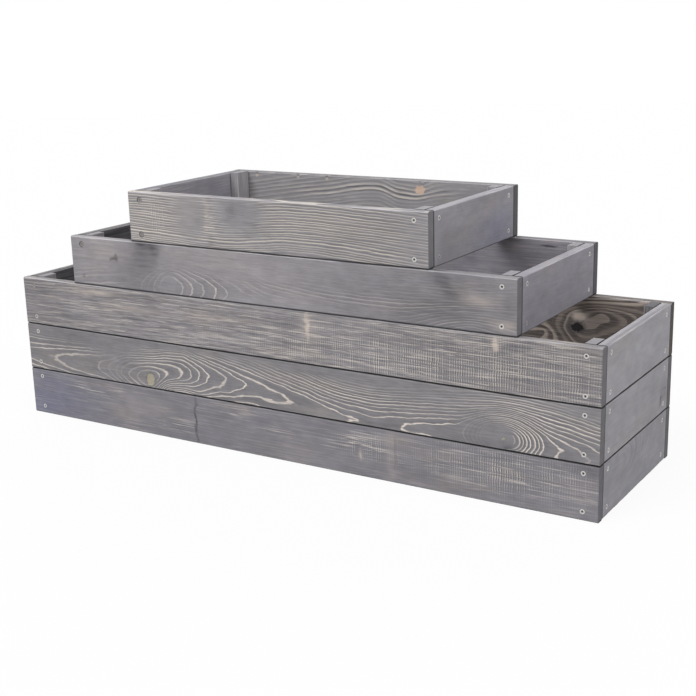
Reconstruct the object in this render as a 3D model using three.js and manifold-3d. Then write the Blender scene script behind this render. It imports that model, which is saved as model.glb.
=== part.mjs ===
// A tiered raised bed: three bottomless frames of sawn softwood boards, stacked from long to short.
// Millimetres, +Z up. X runs along the bed, Y from front to back, and the origin is the middle of
// the footprint. Each tier is four walls of boards, screwed from outside to a batten in each corner.

import * as THREE from "three";
import { mergeVertices } from "three/addons/utils/BufferGeometryUtils.js";
import Module from "manifold-3d";

// The whole bed: its tiers share one depth
const BED_DEPTH = 366;
const BOTTOM_LENGTH = 1300;
const MIDDLE_LENGTH = 1000;
const TOP_LENGTH = 670;
const TIERS = [
  { name: "bottom", length: BOTTOM_LENGTH, courses: 3 },
  { name: "middle", length: MIDDLE_LENGTH, courses: 1 },
  { name: "top", length: TOP_LENGTH, courses: 1 },
];

// Boards: planed flat, with eased long edges and saw-cut ends
const BOARD_HEIGHT = 100;
const BOARD_THICKNESS = 18;
const BOARD_EDGE_RADIUS = 2;
const COURSE_GAP = 1;

// Corner battens: laths on edge, with the broad face against the end boards
const BATTEN_THICKNESS = 20;
const BATTEN_WIDTH = 40;
const BATTEN_EDGE_RADIUS = 1;

// Countersunk wood screws, a pair in each end of each board
const SCREW_LENGTH = 35;
const SCREW_DIAMETER = 4;
const SCREW_POINT = 6;
const HEAD_DIAMETER = 8;
const HEAD_CONE = 2;
const HEAD_SINK = 0.4;
const RECESS_DIAMETER = 3.6;
const RECESS_DEPTH = 1.6;
const SCREW_EDGE_INSET = 16;

// Screws through the end boards sit past the batten's middle, clear of the tips of the others
const END_SCREW_SHIFT = 2.5;

// Fits
const SEAT_GAP = 0.3;
const SCREW_CLEARANCE = 0.3;
const CUT_OVERRUN = 1;

// Facets
const EDGE_STEPS = 2;
const SCREW_SIDES = 8;

const X_AXIS = new THREE.Vector3(1, 0, 0);
const Y_AXIS = new THREE.Vector3(0, 1, 0);

const wasm = await Module();
wasm.setup();

// A closed solid from a geometry, with shared corners merged and collapsed triangles left out
function toSolid(geometry) {
  const bare = geometry.clone();
  bare.deleteAttribute("normal");
  bare.deleteAttribute("uv");
  const merged = mergeVertices(bare);
  const index = merged.getIndex().array;
  const triVerts = [];
  for (let i = 0; i < index.length; i += 3) {
    const [a, b, c] = [index[i], index[i + 1], index[i + 2]];
    if (a !== b && b !== c && c !== a) triVerts.push(a, b, c);
  }
  const mesh = new wasm.Mesh({
    numProp: 3,
    vertProperties: Float32Array.from(merged.getAttribute("position").array),
    triVerts: Uint32Array.from(triVerts),
  });
  return new wasm.Manifold(mesh);
}

function toGeometry(solid) {
  const { vertProperties, triVerts } = solid.getMesh();
  const geometry = new THREE.BufferGeometry();
  geometry.setAttribute("position", new THREE.BufferAttribute(vertProperties, 3));
  geometry.setIndex(new THREE.BufferAttribute(triVerts, 1));
  const faceted = geometry.toNonIndexed();
  faceted.computeVertexNormals();
  return faceted;
}

// A rectangle with rounded corners, centred on the origin
function easedRectangle(width, height, radius) {
  const x = width / 2 - radius;
  const y = height / 2 - radius;
  const quarter = Math.PI / 2;
  const shape = new THREE.Shape();
  shape.absarc(x, -y, radius, -quarter, 0);
  shape.absarc(x, y, radius, 0, quarter);
  shape.absarc(-x, y, radius, quarter, 2 * quarter);
  shape.absarc(-x, -y, radius, 2 * quarter, 3 * quarter);
  return shape;
}

// A straight bar of that section along Z, centred on the origin
function easedBar(width, height, radius, length) {
  const section = easedRectangle(width, height, radius);
  const options = { depth: length, bevelEnabled: false, curveSegments: EDGE_STEPS };
  return new THREE.ExtrudeGeometry(section, options).translate(0, 0, -length / 2);
}

// A solid turned about the Y axis, then laid so that its +Y end points along direction from place
function turnedSolid(profile, place, direction) {
  const points = profile.map(([radius, height]) => new THREE.Vector2(radius, height));
  const turn = new THREE.Quaternion().setFromUnitVectors(Y_AXIS, direction);
  const pose = new THREE.Matrix4().compose(place, turn, new THREE.Vector3(1, 1, 1));
  return toSolid(new THREE.LatheGeometry(points, SCREW_SIDES).applyMatrix4(pose));
}

// A screw whose head lies HEAD_SINK under the face at place, which looks along outward
function screwSolid(place, outward) {
  const neck = -HEAD_SINK - HEAD_CONE;
  const tip = -HEAD_SINK - SCREW_LENGTH;
  const profile = [
    [0, tip],
    [SCREW_DIAMETER / 2, tip + SCREW_POINT],
    [SCREW_DIAMETER / 2, neck],
    [HEAD_DIAMETER / 2, -HEAD_SINK],
    [RECESS_DIAMETER / 2, -HEAD_SINK],
    [0, -HEAD_SINK - RECESS_DEPTH],
  ];
  return turnedSolid(profile, place, outward);
}

// The countersunk hole for that screw, right through a board
function screwHoleSolid(place, outward) {
  const holeRadius = SCREW_DIAMETER / 2 + SCREW_CLEARANCE;
  const coneSlope = (HEAD_DIAMETER - SCREW_DIAMETER) / 2 / HEAD_CONE;
  const profile = [
    [0, -BOARD_THICKNESS - CUT_OVERRUN],
    [holeRadius, -BOARD_THICKNESS - CUT_OVERRUN],
    [holeRadius, -HEAD_SINK - HEAD_CONE],
    [holeRadius + coneSlope * (HEAD_CONE + HEAD_SINK + CUT_OVERRUN), CUT_OVERRUN],
    [0, CUT_OVERRUN],
  ];
  return turnedSolid(profile, place, outward);
}

// Where a tier's pieces meet, measured from the tier's middle to the right and to the back
function cornerLines(tier) {
  const battenX = tier.length / 2 - BOARD_THICKNESS - SEAT_GAP - BATTEN_THICKNESS / 2;
  const battenY = BED_DEPTH / 2 - BOARD_THICKNESS - SEAT_GAP - BATTEN_WIDTH / 2;
  return { battenX, battenY, endScrewY: battenY - END_SCREW_SHIFT };
}

function courseBase(course) {
  return course * (BOARD_HEIGHT + COURSE_GAP);
}

function tierHeight(tier) {
  return courseBase(tier.courses - 1) + BOARD_HEIGHT;
}

// Heights of a board's two screws above its lower edge
function screwHeights() {
  return [SCREW_EDGE_INSET, BOARD_HEIGHT - SCREW_EDGE_INSET];
}

// A board along X, centred on the origin, with its outer face at -Y and screws at +-screwX
function boardGeometry(length, screwX) {
  const bar = easedBar(BOARD_HEIGHT, BOARD_THICKNESS, BOARD_EDGE_RADIUS, length);
  const alongX = new THREE.Matrix4().makeBasis(
    new THREE.Vector3(0, 0, 1),
    new THREE.Vector3(0, 1, 0),
    new THREE.Vector3(-1, 0, 0),
  );
  let board = toSolid(bar.applyMatrix4(alongX));
  const outward = Y_AXIS.clone().negate();
  for (const x of [-screwX, screwX]) {
    for (const height of screwHeights()) {
      const place = new THREE.Vector3(x, -BOARD_THICKNESS / 2, height - BOARD_HEIGHT / 2);
      board = board.subtract(screwHoleSolid(place, outward));
    }
  }
  return toGeometry(board);
}

// The batten of the corner at sideX, sideY (each -1 or 1), upright on the origin, in one piece
// with the screws that bite into it
function battenGeometry(tier, sideX, sideY) {
  const { battenX, battenY, endScrewY } = cornerLines(tier);
  const height = tierHeight(tier);
  const bar = easedBar(BATTEN_THICKNESS, BATTEN_WIDTH, BATTEN_EDGE_RADIUS, height);
  let batten = toSolid(bar.translate(0, 0, height / 2));
  const toEndFace = sideX * (tier.length / 2 - battenX);
  const toLongFace = sideY * (BED_DEPTH / 2 - battenY);
  const shift = sideY * (endScrewY - battenY);
  for (let course = 0; course < tier.courses; course += 1) {
    for (const screwHeight of screwHeights()) {
      const z = courseBase(course) + screwHeight;
      const longPlace = new THREE.Vector3(0, toLongFace, z);
      const endPlace = new THREE.Vector3(toEndFace, shift, z);
      batten = batten.add(screwSolid(longPlace, Y_AXIS.clone().multiplyScalar(sideY)));
      batten = batten.add(screwSolid(endPlace, X_AXIS.clone().multiplyScalar(sideX)));
    }
  }
  return toGeometry(batten);
}

// Grey-stained spruce: boards a little lighter than the rough battens behind them
function stainedSpruce(color, roughness) {
  return new THREE.MeshStandardMaterial({ color, roughness, metalness: 0 });
}

const boardTimber = () => stainedSpruce(0x89888d, 0.72);
const endBoardTimber = () => stainedSpruce(0x85848a, 0.74);
const battenTimber = () => stainedSpruce(0x6d6b70, 0.85);

function namedMesh(name, geometry, material) {
  const mesh = new THREE.Mesh(geometry, material);
  mesh.name = name;
  return mesh;
}

// Boards of a tall tier are numbered from the ground up; a single board needs no number
function boardName(tier, side, course) {
  const number = tier.courses > 1 ? `_${course + 1}` : "";
  return `${tier.name}_${side}_board${number}`;
}

// The four walls of a tier: where each board's middle lies, and its quarter turns about Z
function addBoards(group, tier) {
  const { battenX, endScrewY } = cornerLines(tier);
  const endLength = BED_DEPTH - 2 * (BOARD_THICKNESS + SEAT_GAP);
  const longY = BED_DEPTH / 2 - BOARD_THICKNESS / 2;
  const endX = tier.length / 2 - BOARD_THICKNESS / 2;
  const longBoard = boardGeometry(tier.length, battenX);
  const endBoard = boardGeometry(endLength, endScrewY);
  const walls = [
    { side: "front", geometry: longBoard, timber: boardTimber, x: 0, y: -longY, turn: 0 },
    { side: "right", geometry: endBoard, timber: endBoardTimber, x: endX, y: 0, turn: 1 },
    { side: "back", geometry: longBoard, timber: boardTimber, x: 0, y: longY, turn: 2 },
    { side: "left", geometry: endBoard, timber: endBoardTimber, x: -endX, y: 0, turn: 3 },
  ];
  for (let course = 0; course < tier.courses; course += 1) {
    for (const wall of walls) {
      const mesh = namedMesh(boardName(tier, wall.side, course), wall.geometry, wall.timber());
      mesh.position.set(wall.x, wall.y, courseBase(course) + BOARD_HEIGHT / 2);
      mesh.rotation.z = (wall.turn * Math.PI) / 2;
      group.add(mesh);
    }
  }
}

function addBattens(group, tier) {
  const { battenX, battenY } = cornerLines(tier);
  for (const [sideWordY, sideY] of [["front", -1], ["back", 1]]) {
    for (const [sideWordX, sideX] of [["left", -1], ["right", 1]]) {
      const name = `${tier.name}_batten_${sideWordY}_${sideWordX}`;
      const mesh = namedMesh(name, battenGeometry(tier, sideX, sideY), battenTimber());
      mesh.position.set(sideX * battenX, sideY * battenY, 0);
      group.add(mesh);
    }
  }
}

// One loose frame, which stands on the tier below
function makeTier(tier, base) {
  const group = new THREE.Group();
  group.position.z = base;
  addBoards(group, tier);
  addBattens(group, tier);
  return group;
}

const bed = new THREE.Group();
let base = 0;
for (const tier of TIERS) {
  bed.add(makeTier(tier, base));
  base += tierHeight(tier) + SEAT_GAP;
}

export default bed;
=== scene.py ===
"""A three-tier raised bed of grey-stained spruce boards: its looks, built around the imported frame.

Each tier is a ring of boards screwed to four corner battens. The boards, battens and screws are made
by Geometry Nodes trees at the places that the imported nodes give, and every board has its own grain.
"""

import logging
import math
from dataclasses import dataclass, field, replace
from enum import Enum

import bmesh
import bpy
from mathutils import Matrix, Vector


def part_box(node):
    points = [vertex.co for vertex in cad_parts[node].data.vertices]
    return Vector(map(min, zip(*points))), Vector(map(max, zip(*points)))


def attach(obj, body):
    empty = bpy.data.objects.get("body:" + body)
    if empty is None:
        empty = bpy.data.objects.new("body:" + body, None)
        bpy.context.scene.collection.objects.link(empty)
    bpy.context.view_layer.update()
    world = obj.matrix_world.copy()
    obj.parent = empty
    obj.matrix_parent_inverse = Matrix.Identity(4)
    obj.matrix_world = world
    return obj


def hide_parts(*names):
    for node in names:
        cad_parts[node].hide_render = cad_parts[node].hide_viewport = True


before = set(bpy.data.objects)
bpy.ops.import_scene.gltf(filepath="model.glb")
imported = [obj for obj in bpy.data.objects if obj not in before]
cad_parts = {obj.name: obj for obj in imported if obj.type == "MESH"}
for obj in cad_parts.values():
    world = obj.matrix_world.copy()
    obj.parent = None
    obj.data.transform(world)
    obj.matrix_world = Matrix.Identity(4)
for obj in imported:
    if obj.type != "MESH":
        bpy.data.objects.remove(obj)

MM = 0.001
LOG = logging.getLogger("raised_bed")

# a right angle, in radians
QUARTER = math.pi / 2
# the four corners of a tier
CORNERS = tuple((near, end) for near in ("front", "back") for end in ("left", "right"))
# mm, further than any board reaches
FAR = 1000.0
# mm from one seed's pattern to the next: along, through and up
RING_STRIDE = (91.7, 37.3, 53.9)
GRAIN_STRIDE = (137.1, 59.7, 83.3)
# the part of a growth ring at which its pale line ends
LINE_END = 0.74
# mm between the saw's tooth marks
TOOTH_PITCH = 4.6


class Node(str, Enum):
    """The kinds of node that the trees use."""

    MATH = "ShaderNodeMath"
    VECTOR = "ShaderNodeVectorMath"
    MIX = "ShaderNodeMix"
    RANGE = "ShaderNodeMapRange"
    NOISE = "ShaderNodeTexNoise"
    RANDOM = "ShaderNodeTexWhiteNoise"
    SPLIT = "ShaderNodeSeparateXYZ"
    JOIN = "ShaderNodeCombineXYZ"
    CURVE = "ShaderNodeFloatCurve"
    MAPPING = "ShaderNodeMapping"
    PLACE = "ShaderNodeTexCoord"
    BUMP = "ShaderNodeBump"
    SURFACE = "ShaderNodeBsdfPrincipled"
    GROUP = "ShaderNodeGroup"
    RAY = "ShaderNodeLightPath"


class Side(Enum):
    """The four walls of a tier, by the quarter turns from the front wall to that one."""

    FRONT = 0
    RIGHT = 1
    BACK = 2
    LEFT = 3


class Effect(Enum):
    """What can be stronger or weaker at one place on a board."""

    LINES = "Lines"
    RUB = "Rub"
    SAW = "Saw"
    DARK = "Dark"
    PALE = "Pale"
    BLUE = "Blue"
    TEXTURE = "Texture"


def linear(colour: str) -> tuple[float, float, float, float]:
    """Turns an sRGB hex colour to the linear colour that a shader reads.

    Args:
        colour: a colour such as "#8d8b8d".

    Returns:
        Red, green, blue and an alpha of 1.
    """
    parts = [int(colour[i : i + 2], 16) / 255 for i in (1, 3, 5)]
    red, green, blue = (p / 12.92 if p <= 0.04045 else ((p + 0.055) / 1.055) ** 2.4 for p in parts)
    return red, green, blue, 1.0


def add(
    tree: bpy.types.NodeTree, kind: str, links: dict | None = None, **settings: object,
) -> bpy.types.Node:
    """Adds one node with its settings and links.

    Args:
        tree: the tree that gets the node.
        kind: the node's type.
        links: by an input's place, identifier or name, the node, socket or plain value that feeds it.
        settings: the node's own properties.

    Returns:
        The new node.
    """
    node = tree.nodes.new(kind.value if isinstance(kind, Enum) else kind)
    for name, value in settings.items():
        setattr(node, name, value)
    by_name = {s.name: s for s in reversed(node.inputs)} | {s.identifier: s for s in node.inputs}
    for key, value in (links or {}).items():
        socket = node.inputs[key] if isinstance(key, int) else by_name[key]
        if isinstance(value, bpy.types.Node):
            value = next(s for s in value.outputs if s.enabled)
        if isinstance(value, bpy.types.NodeSocket):
            tree.links.new(value, socket)
        else:
            socket.default_value = value
    return node


def open_group(
    name: str, kind: str, inputs: dict[str, str], outputs: dict[str, str],
) -> tuple[bpy.types.NodeTree, dict]:
    """Starts a node tree with named inputs and outputs.

    Args:
        name: the tree's name.
        kind: the tree's type.
        inputs: the socket type of each input, without its NodeSocket prefix.
        outputs: the socket type of each output.

    Returns:
        The tree, and its input sockets by name.
    """
    tree = bpy.data.node_groups.new(name, kind)
    for way, sockets in (("INPUT", inputs), ("OUTPUT", outputs)):
        for label, socket in sockets.items():
            tree.interface.new_socket(label, in_out=way, socket_type="NodeSocket" + socket)
    return tree, {s.name: s for s in tree.nodes.new("NodeGroupInput").outputs}


def new_material(name: str) -> tuple[bpy.types.Material, bpy.types.NodeTree]:
    """Makes an empty material.

    Args:
        name: what the material is.

    Returns:
        The material and its tree.
    """
    material = bpy.data.materials.new(name)
    material.use_nodes = True
    material.node_tree.nodes.clear()
    return material, material.node_tree


def put(name: str, data: bpy.types.ID) -> bpy.types.Object:
    """Puts a new object into the scene.

    Args:
        name: its name.
        data: its mesh, camera or lamp.

    Returns:
        The object, at the origin.
    """
    piece = bpy.data.objects.new(name, data)
    bpy.context.scene.collection.objects.link(piece)
    return piece


@dataclass(frozen=True)
class Spot:
    """A soft-edged place on a board where one effect changes.

    Attributes:
        effect: what changes there.
        along: its middle, in mm from the board's left end as seen from outside.
        up: its middle, in mm above the board's lower edge.
        length: half its length, in mm.
        height: half its height, in mm.
        amount: how much is added in its middle.
        hardness: 2 fades softly and 6 has a clear edge.
        lean: how far it leans to the right, in mm for each mm of height.
        depth: its middle in the board's thickness, in mm from the outer face.
        reach: half its size through the thickness, in mm.
    """

    effect: Effect
    along: float
    up: float
    length: float
    height: float
    amount: float
    hardness: float = 2.0
    lean: float = 0.0
    depth: float = 0.0
    reach: float = FAR


@dataclass(frozen=True)
class Knot:
    """A branch cut through by the saw, with the rings swept round it.

    Attributes:
        along: its middle, in mm from the board's left end as seen from outside.
        up: its middle, in mm above the board's lower edge.
        length: half the length of its core, in mm.
        height: half the height of its core, in mm.
        sweep_length: half the length of the swept rings, in mm.
        sweep_height: half the height of the swept rings, in mm.
        sweep: how far the rings are pulled in, in mm of ring distance.
        core: how clearly the core shows.
        rim: how dark the bark line round it is.
    """

    along: float
    up: float
    length: float
    height: float
    sweep_length: float
    sweep_height: float
    sweep: float
    core: float = 1.0
    rim: float = 0.5


class SpruceNodes:
    """The node groups that all the spruce finishes share."""

    def __init__(self) -> None:
        """Makes the four groups."""
        self.spot = self.soft_spot()
        self.rings = self.growth_rings()
        self.knot = self.swept_knot()
        self.wood = self.stained_wood()

    @staticmethod
    def soft_spot() -> bpy.types.NodeTree:
        """Makes the group that adds an amount at one place with a soft edge.

        Returns:
            The group.
        """
        tree, ins = open_group(
            "soft spot", "ShaderNodeTree",
            {
                "Before": "Float", "Position": "Vector", "Centre": "Vector", "Radii": "Vector",
                "Amount": "Float", "Hardness": "Float", "Lean": "Float",
            },
            {"After": "Float"},
        )
        offset = add(tree, Node.VECTOR, {0: ins["Position"], 1: ins["Centre"]}, operation="SUBTRACT")
        rise = add(tree, Node.SPLIT, {0: offset})
        aside = add(tree, Node.MATH, {0: rise.outputs["Z"], 1: ins["Lean"]}, operation="MULTIPLY")
        upright = add(
            tree, Node.VECTOR, {0: offset, 1: add(tree, Node.JOIN, {0: aside})}, operation="SUBTRACT",
        )
        scaled = add(tree, Node.VECTOR, {0: upright, 1: ins["Radii"]}, operation="DIVIDE")
        far = add(tree, Node.VECTOR, {0: scaled}, operation="LENGTH")
        steep = add(tree, Node.MATH, {0: far.outputs["Value"], 1: ins["Hardness"]}, operation="POWER")
        below = add(tree, Node.MATH, {0: steep, 1: -1.0}, operation="MULTIPLY")
        fade = add(tree, Node.MATH, {0: below}, operation="EXPONENT")
        after = add(
            tree, Node.MATH, {0: fade, 1: ins["Amount"], 2: ins["Before"]}, operation="MULTIPLY_ADD",
        )
        add(tree, "NodeGroupOutput", {"After": after})
        return tree

    @staticmethod
    def growth_rings() -> bpy.types.NodeTree:
        """Makes the group that gives the distance from the trunk's pith, in mm, with its natural drift.

        Returns:
            The group.
        """
        tree, ins = open_group(
            "growth rings", "ShaderNodeTree",
            {
                "Position": "Vector", "Pith height": "Float", "Pith depth": "Float", "Drift": "Float",
                "Seed": "Float",
            },
            {"Rings": "Float", "Steepness": "Float"},
        )
        seat = add(tree, Node.JOIN, {0: ins["Seed"], 1: ins["Seed"], 2: ins["Seed"]})
        moved = add(
            tree, Node.VECTOR, {0: seat, 1: RING_STRIDE, 2: ins["Position"]}, operation="MULTIPLY_ADD",
        )
        # the trunk leans and swells over a hand's length, and wavers over a finger's width
        sways = []
        for sizes, detail, swing in (((260, 60, 60), 1.0, 14.0), ((36, 14, 14), 2.0, 2.8)):
            scale = tuple(1 / size for size in sizes)
            stretched = add(tree, Node.VECTOR, {0: moved, 1: scale}, operation="MULTIPLY")
            noise = add(tree, Node.NOISE, {"Vector": stretched, "Scale": 1.0, "Detail": detail})
            swings = {1: (0.0, swing, swing), 2: (0.0, -swing / 2, -swing / 2)}
            sways.append(
                add(tree, Node.VECTOR, {0: noise.outputs["Color"], **swings}, operation="MULTIPLY_ADD")
            )
        leaning = add(tree, Node.VECTOR, {0: sways[0], "Scale": ins["Drift"]}, operation="SCALE")
        drift = add(tree, Node.VECTOR, {0: leaning, 1: sways[1]}, operation="ADD")
        pith = add(tree, Node.JOIN, {0: 0.0, 1: ins["Pith depth"], 2: ins["Pith height"]})
        place = add(tree, Node.VECTOR, {0: ins["Position"], 1: pith}, operation="SUBTRACT")
        swayed = add(tree, Node.VECTOR, {0: place, 1: drift}, operation="ADD")
        across = add(tree, Node.VECTOR, {0: swayed, 1: (0.0, 1.0, 1.0)}, operation="MULTIPLY")
        far = add(tree, Node.VECTOR, {0: across}, operation="LENGTH")
        # 1 where the rings cross the face squarely, 0 where they run along it
        upward = add(tree, Node.SPLIT, {0: across})
        slope = add(tree, Node.MATH, {0: upward.outputs["Z"], 1: far.outputs["Value"]}, operation="DIVIDE")
        steepness = add(tree, Node.MATH, {0: slope}, operation="ABSOLUTE")
        add(tree, "NodeGroupOutput", {"Rings": far.outputs["Value"], "Steepness": steepness})
        return tree

    @staticmethod
    def swept_knot() -> bpy.types.NodeTree:
        """Makes the group that pulls the rings round a knot and marks its core and rim.

        Returns:
            The group.
        """
        tree, ins = open_group(
            "swept knot", "ShaderNodeTree",
            {
                "Rings": "Float", "Steepness": "Float", "Core": "Float", "Rim": "Float",
                "Position": "Vector", "Loose position": "Vector", "Centre": "Vector", "Radii": "Vector",
                "Sweep radii": "Vector", "Sweep": "Float", "Strength": "Float", "Edge": "Float",
            },
            {"Rings": "Float", "Steepness": "Float", "Core": "Float", "Rim": "Float"},
        )
        distances = []
        for place, radii in (("Position", "Sweep radii"), ("Loose position", "Radii")):
            offset = add(tree, Node.VECTOR, {0: ins[place], 1: ins["Centre"]}, operation="SUBTRACT")
            scaled = add(tree, Node.VECTOR, {0: offset, 1: ins[radii]}, operation="DIVIDE")
            distances.append(add(tree, Node.VECTOR, {0: scaled}, operation="LENGTH").outputs["Value"])
        far, near = distances
        # the pull is full in the middle and fades out smoothly past the swept rings
        inward = add(tree, Node.MATH, {0: 1.0, 1: far}, operation="SUBTRACT")
        pull = add(tree, Node.MATH, {0: inward, 1: 0.0, 2: 0.35}, operation="SMOOTH_MAX")
        pulled = add(tree, Node.MATH, {0: pull, 1: ins["Sweep"]}, operation="MULTIPLY")
        rings = add(tree, Node.MATH, {0: ins["Rings"], 1: pulled}, operation="SUBTRACT")
        reach = add(tree, Node.SPLIT, {0: ins["Sweep radii"]})
        slope = add(tree, Node.MATH, {0: ins["Sweep"], 1: reach.outputs["Z"]}, operation="DIVIDE")
        slopes = add(tree, Node.MATH, {0: slope}, operation="ABSOLUTE")
        swept_in = add(
            tree, Node.RANGE, {"Value": far, "From Min": 1.1, "From Max": 0.7, "To Max": slopes},
            interpolation_type="SMOOTHSTEP",
        )
        steepness = add(tree, Node.MATH, {0: ins["Steepness"], 1: swept_in}, operation="MAXIMUM")
        inside = add(
            tree, Node.RANGE, {"Value": near, "From Min": 1.15, "From Max": 0.8, "To Max": ins["Strength"]},
            interpolation_type="SMOOTHSTEP",
        )
        core = add(tree, Node.MATH, {0: ins["Core"], 1: inside}, operation="MAXIMUM")
        # the bark is a dark band just outside the core
        edge = add(tree, Node.MATH, {0: near, 1: 1.2}, operation="SUBTRACT")
        squared = add(tree, Node.MATH, {0: edge, 1: edge}, operation="MULTIPLY")
        steep = add(tree, Node.MATH, {0: squared, 1: -11.0}, operation="MULTIPLY")
        band = add(tree, Node.MATH, {0: steep}, operation="EXPONENT")
        banded = add(tree, Node.MATH, {0: band, 1: ins["Edge"]}, operation="MULTIPLY")
        rim = add(tree, Node.MATH, {0: ins["Rim"], 1: banded}, operation="MAXIMUM")
        add(tree, "NodeGroupOutput", {"Rings": rings, "Steepness": steepness, "Core": core, "Rim": rim})
        return tree

    @staticmethod
    def stained_wood() -> bpy.types.NodeTree:
        """Makes the group that turns ring distance and the amounts of each effect to colour and height.

        Returns:
            The group.
        """
        tree, ins = open_group(
            "stained sawn spruce", "ShaderNodeTree",
            {
                **dict.fromkeys(("Position", "Size", "Free low", "Free high"), "Vector"),
                **dict.fromkeys(("Tone", "Line tint", "Knot tint"), "Color"),
                **dict.fromkeys(("Rings", "Steepness", "Spacing", "Seed", "Least line"), "Float"),
                **dict.fromkeys(("End shade", "Rim shade", "Grime", "Line width"), "Float"),
                **dict.fromkeys(("Core", "Rim", *(effect.value for effect in Effect)), "Float"),
            },
            {"Color": "Color", "Roughness": "Float", "Height": "Float"},
        )
        grains = SpruceNodes.grains(tree, ins)
        fac = {name: noise.outputs["Fac"] for name, noise in grains.items()}
        other = {name: noise.outputs["Color"] for name, noise in grains.items()}
        pale_ring, dark_ring = SpruceNodes.ring_lines(tree, ins, fac["scuff"])
        comb = SpruceNodes.saw_comb(tree, ins, fac["blot"])
        # the stain is mottled over a hand's width, and streaked along the fibres
        depths = []
        for swings in ((("patch", 0.4), ("blot", 0.42)), (("streak", 0.7), ("fibre", 1.15))):
            depth = 1.0
            for name, swing in swings:
                own = add(
                    tree, Node.MATH, {0: fac[name], 1: swing, 2: 1 - swing / 2}, operation="MULTIPLY_ADD",
                )
                depth = add(tree, Node.MATH, {0: own, 1: depth}, operation="MULTIPLY")
            depths.append(depth)
        mottled, fibrous = depths
        swing = add(tree, Node.MATH, {0: fibrous, 1: -1.0}, operation="ADD")
        streaky = add(tree, Node.MATH, {0: swing, 1: ins["Texture"], 2: mottled}, operation="MULTIPLY_ADD")
        # where each mark lies, from noises and thresholds with soft edges
        where = {
            name: add(
                tree, Node.RANGE,
                {"Value": value, "From Min": low, "From Max": high, "To Min": least, "To Max": most},
                interpolation_type="SMOOTHSTEP",
            )
            for name, value, low, high, least, most in (
                ("thin stain", other["patch"], 0.5, 0.75, 0.0, 0.3),
                ("brushed", other["streak"], 0.42, 0.56, 0.1, 1.0),
                ("pale scratch", fac["scuff"], 0.53, 0.6, 0.0, 1.0),
                ("dark scratch", fac["scuff"], 0.46, 0.38, 0.0, 1.0),
                ("sawn row", other["scuff"], 0.45, 0.53, 0.12, 1.0),
                ("ragged", fac["streak"], 0.3, 0.7, 0.6, 1.3),
            )
        }
        arris, worn, end, joint_light, rim_light = SpruceNodes.edge_masks(tree, ins, other["streak"])
        shares = {}
        for name, factors in (
            ("line", (*pale_ring, ins["Lines"])), ("soaked and shadowed", (*dark_ring, ins["Lines"])),
            ("pale scratch", (where["brushed"], where["pale scratch"], ins["Rub"])),
            ("dark scratch", (where["brushed"], where["dark scratch"], ins["Rub"], 0.55)),
            ("saw ridge", (comb, where["sawn row"], ins["Saw"])),
            ("saw groove", (comb, where["sawn row"], ins["Saw"], -0.7)),
            ("dark", (ins["Dark"], where["ragged"])), ("pale", (ins["Pale"], where["ragged"])),
            ("bark", (ins["Rim"], 0.75)), ("worn and highlit edge", (arris, worn)),
        ):
            shares[name] = factors[0]
            for factor in factors[1:]:
                shares[name] = add(tree, Node.MATH, {0: shares[name], 1: factor}, operation="MULTIPLY")
        knot = add(tree, Node.VECTOR, {0: ins["Knot tint"], "Scale": mottled}, operation="SCALE")
        end_depth = add(tree, Node.MATH, {0: mottled, 1: ins["End shade"]}, operation="MULTIPLY")
        end_tone = add(tree, Node.VECTOR, {0: ins["Tone"], "Scale": end_depth}, operation="SCALE")
        colour = ins["Tone"]
        for share, tint in (
            (ins["Blue"], "#6f7390"),
            # brown shows through where the stain is thin
            (where["thin stain"], "#93887d"),
        ):
            colour = add(
                tree, Node.MIX, {"Factor_Float": share, "A_Color": colour, "B_Color": linear(tint)},
                data_type="RGBA",
            )
        colour = add(tree, Node.VECTOR, {0: colour, "Scale": streaky}, operation="SCALE")
        for share, tint in (
            # the soft wood that starts the next ring drinks the most stain, and a painted shadow lies
            # beside each raised line
            (shares["soaked and shadowed"], linear("#454449")), (shares["line"], ins["Line tint"]),
            (shares["dark scratch"], linear("#59575c")), (shares["pale scratch"], linear("#cbc3bb")),
            (shares["saw groove"], linear("#504f54")), (shares["saw ridge"], linear("#d0c9c0")),
            (shares["dark"], linear("#47464a")), (shares["pale"], linear("#c4b7ac")),
            (shares["bark"], linear("#454347")), (ins["Core"], knot),
            # end grain drinks the stain evenly and hides the rings
            (end, end_tone),
            # eased edges are painted paler here and there: rubbed wear with a painted highlight
            (shares["worn and highlit edge"], linear("#b9b6b9")),
        ):
            colour = add(
                tree, Node.MIX, {"Factor_Float": share, "A_Color": colour, "B_Color": tint},
                data_type="RGBA",
            )
        # painted shade: the joints and the rim on top keep only part of the light
        kept = add(tree, Node.MATH, {0: joint_light, 1: rim_light}, operation="MULTIPLY")
        colour = add(tree, Node.VECTOR, {0: colour, "Scale": kept}, operation="SCALE")
        # latewood is glossier and stands proud, fibres lift a little, saw marks are ridges, bark is sunk
        rough, height = 0.74, 0.0
        for share, shine, lift in (
            (shares["line"], -0.12, 0.16), (fac["fibre"], 0.1, 0.3), (shares["saw ridge"], 0.0, 0.12),
            (shares["bark"], 0.05, -0.35),
        ):
            rough = add(tree, Node.MATH, {0: share, 1: shine, 2: rough}, operation="MULTIPLY_ADD")
            height = add(tree, Node.MATH, {0: share, 1: lift, 2: height}, operation="MULTIPLY_ADD")
        add(tree, "NodeGroupOutput", {"Color": colour, "Roughness": rough, "Height": height})
        return tree

    @staticmethod
    def grains(tree: bpy.types.NodeTree, ins: dict) -> dict[str, bpy.types.Node]:
        """Adds the noises of the wood, each stretched along the fibres.

        Args:
            tree: the wood's tree.
            ins: its input sockets.

        Returns:
            The noise nodes by name.
        """
        seat = add(tree, Node.JOIN, {0: ins["Seed"], 1: ins["Seed"], 2: ins["Seed"]})
        moved = add(
            tree, Node.VECTOR, {0: seat, 1: GRAIN_STRIDE, 2: ins["Position"]}, operation="MULTIPLY_ADD",
        )
        grains = {}
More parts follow.
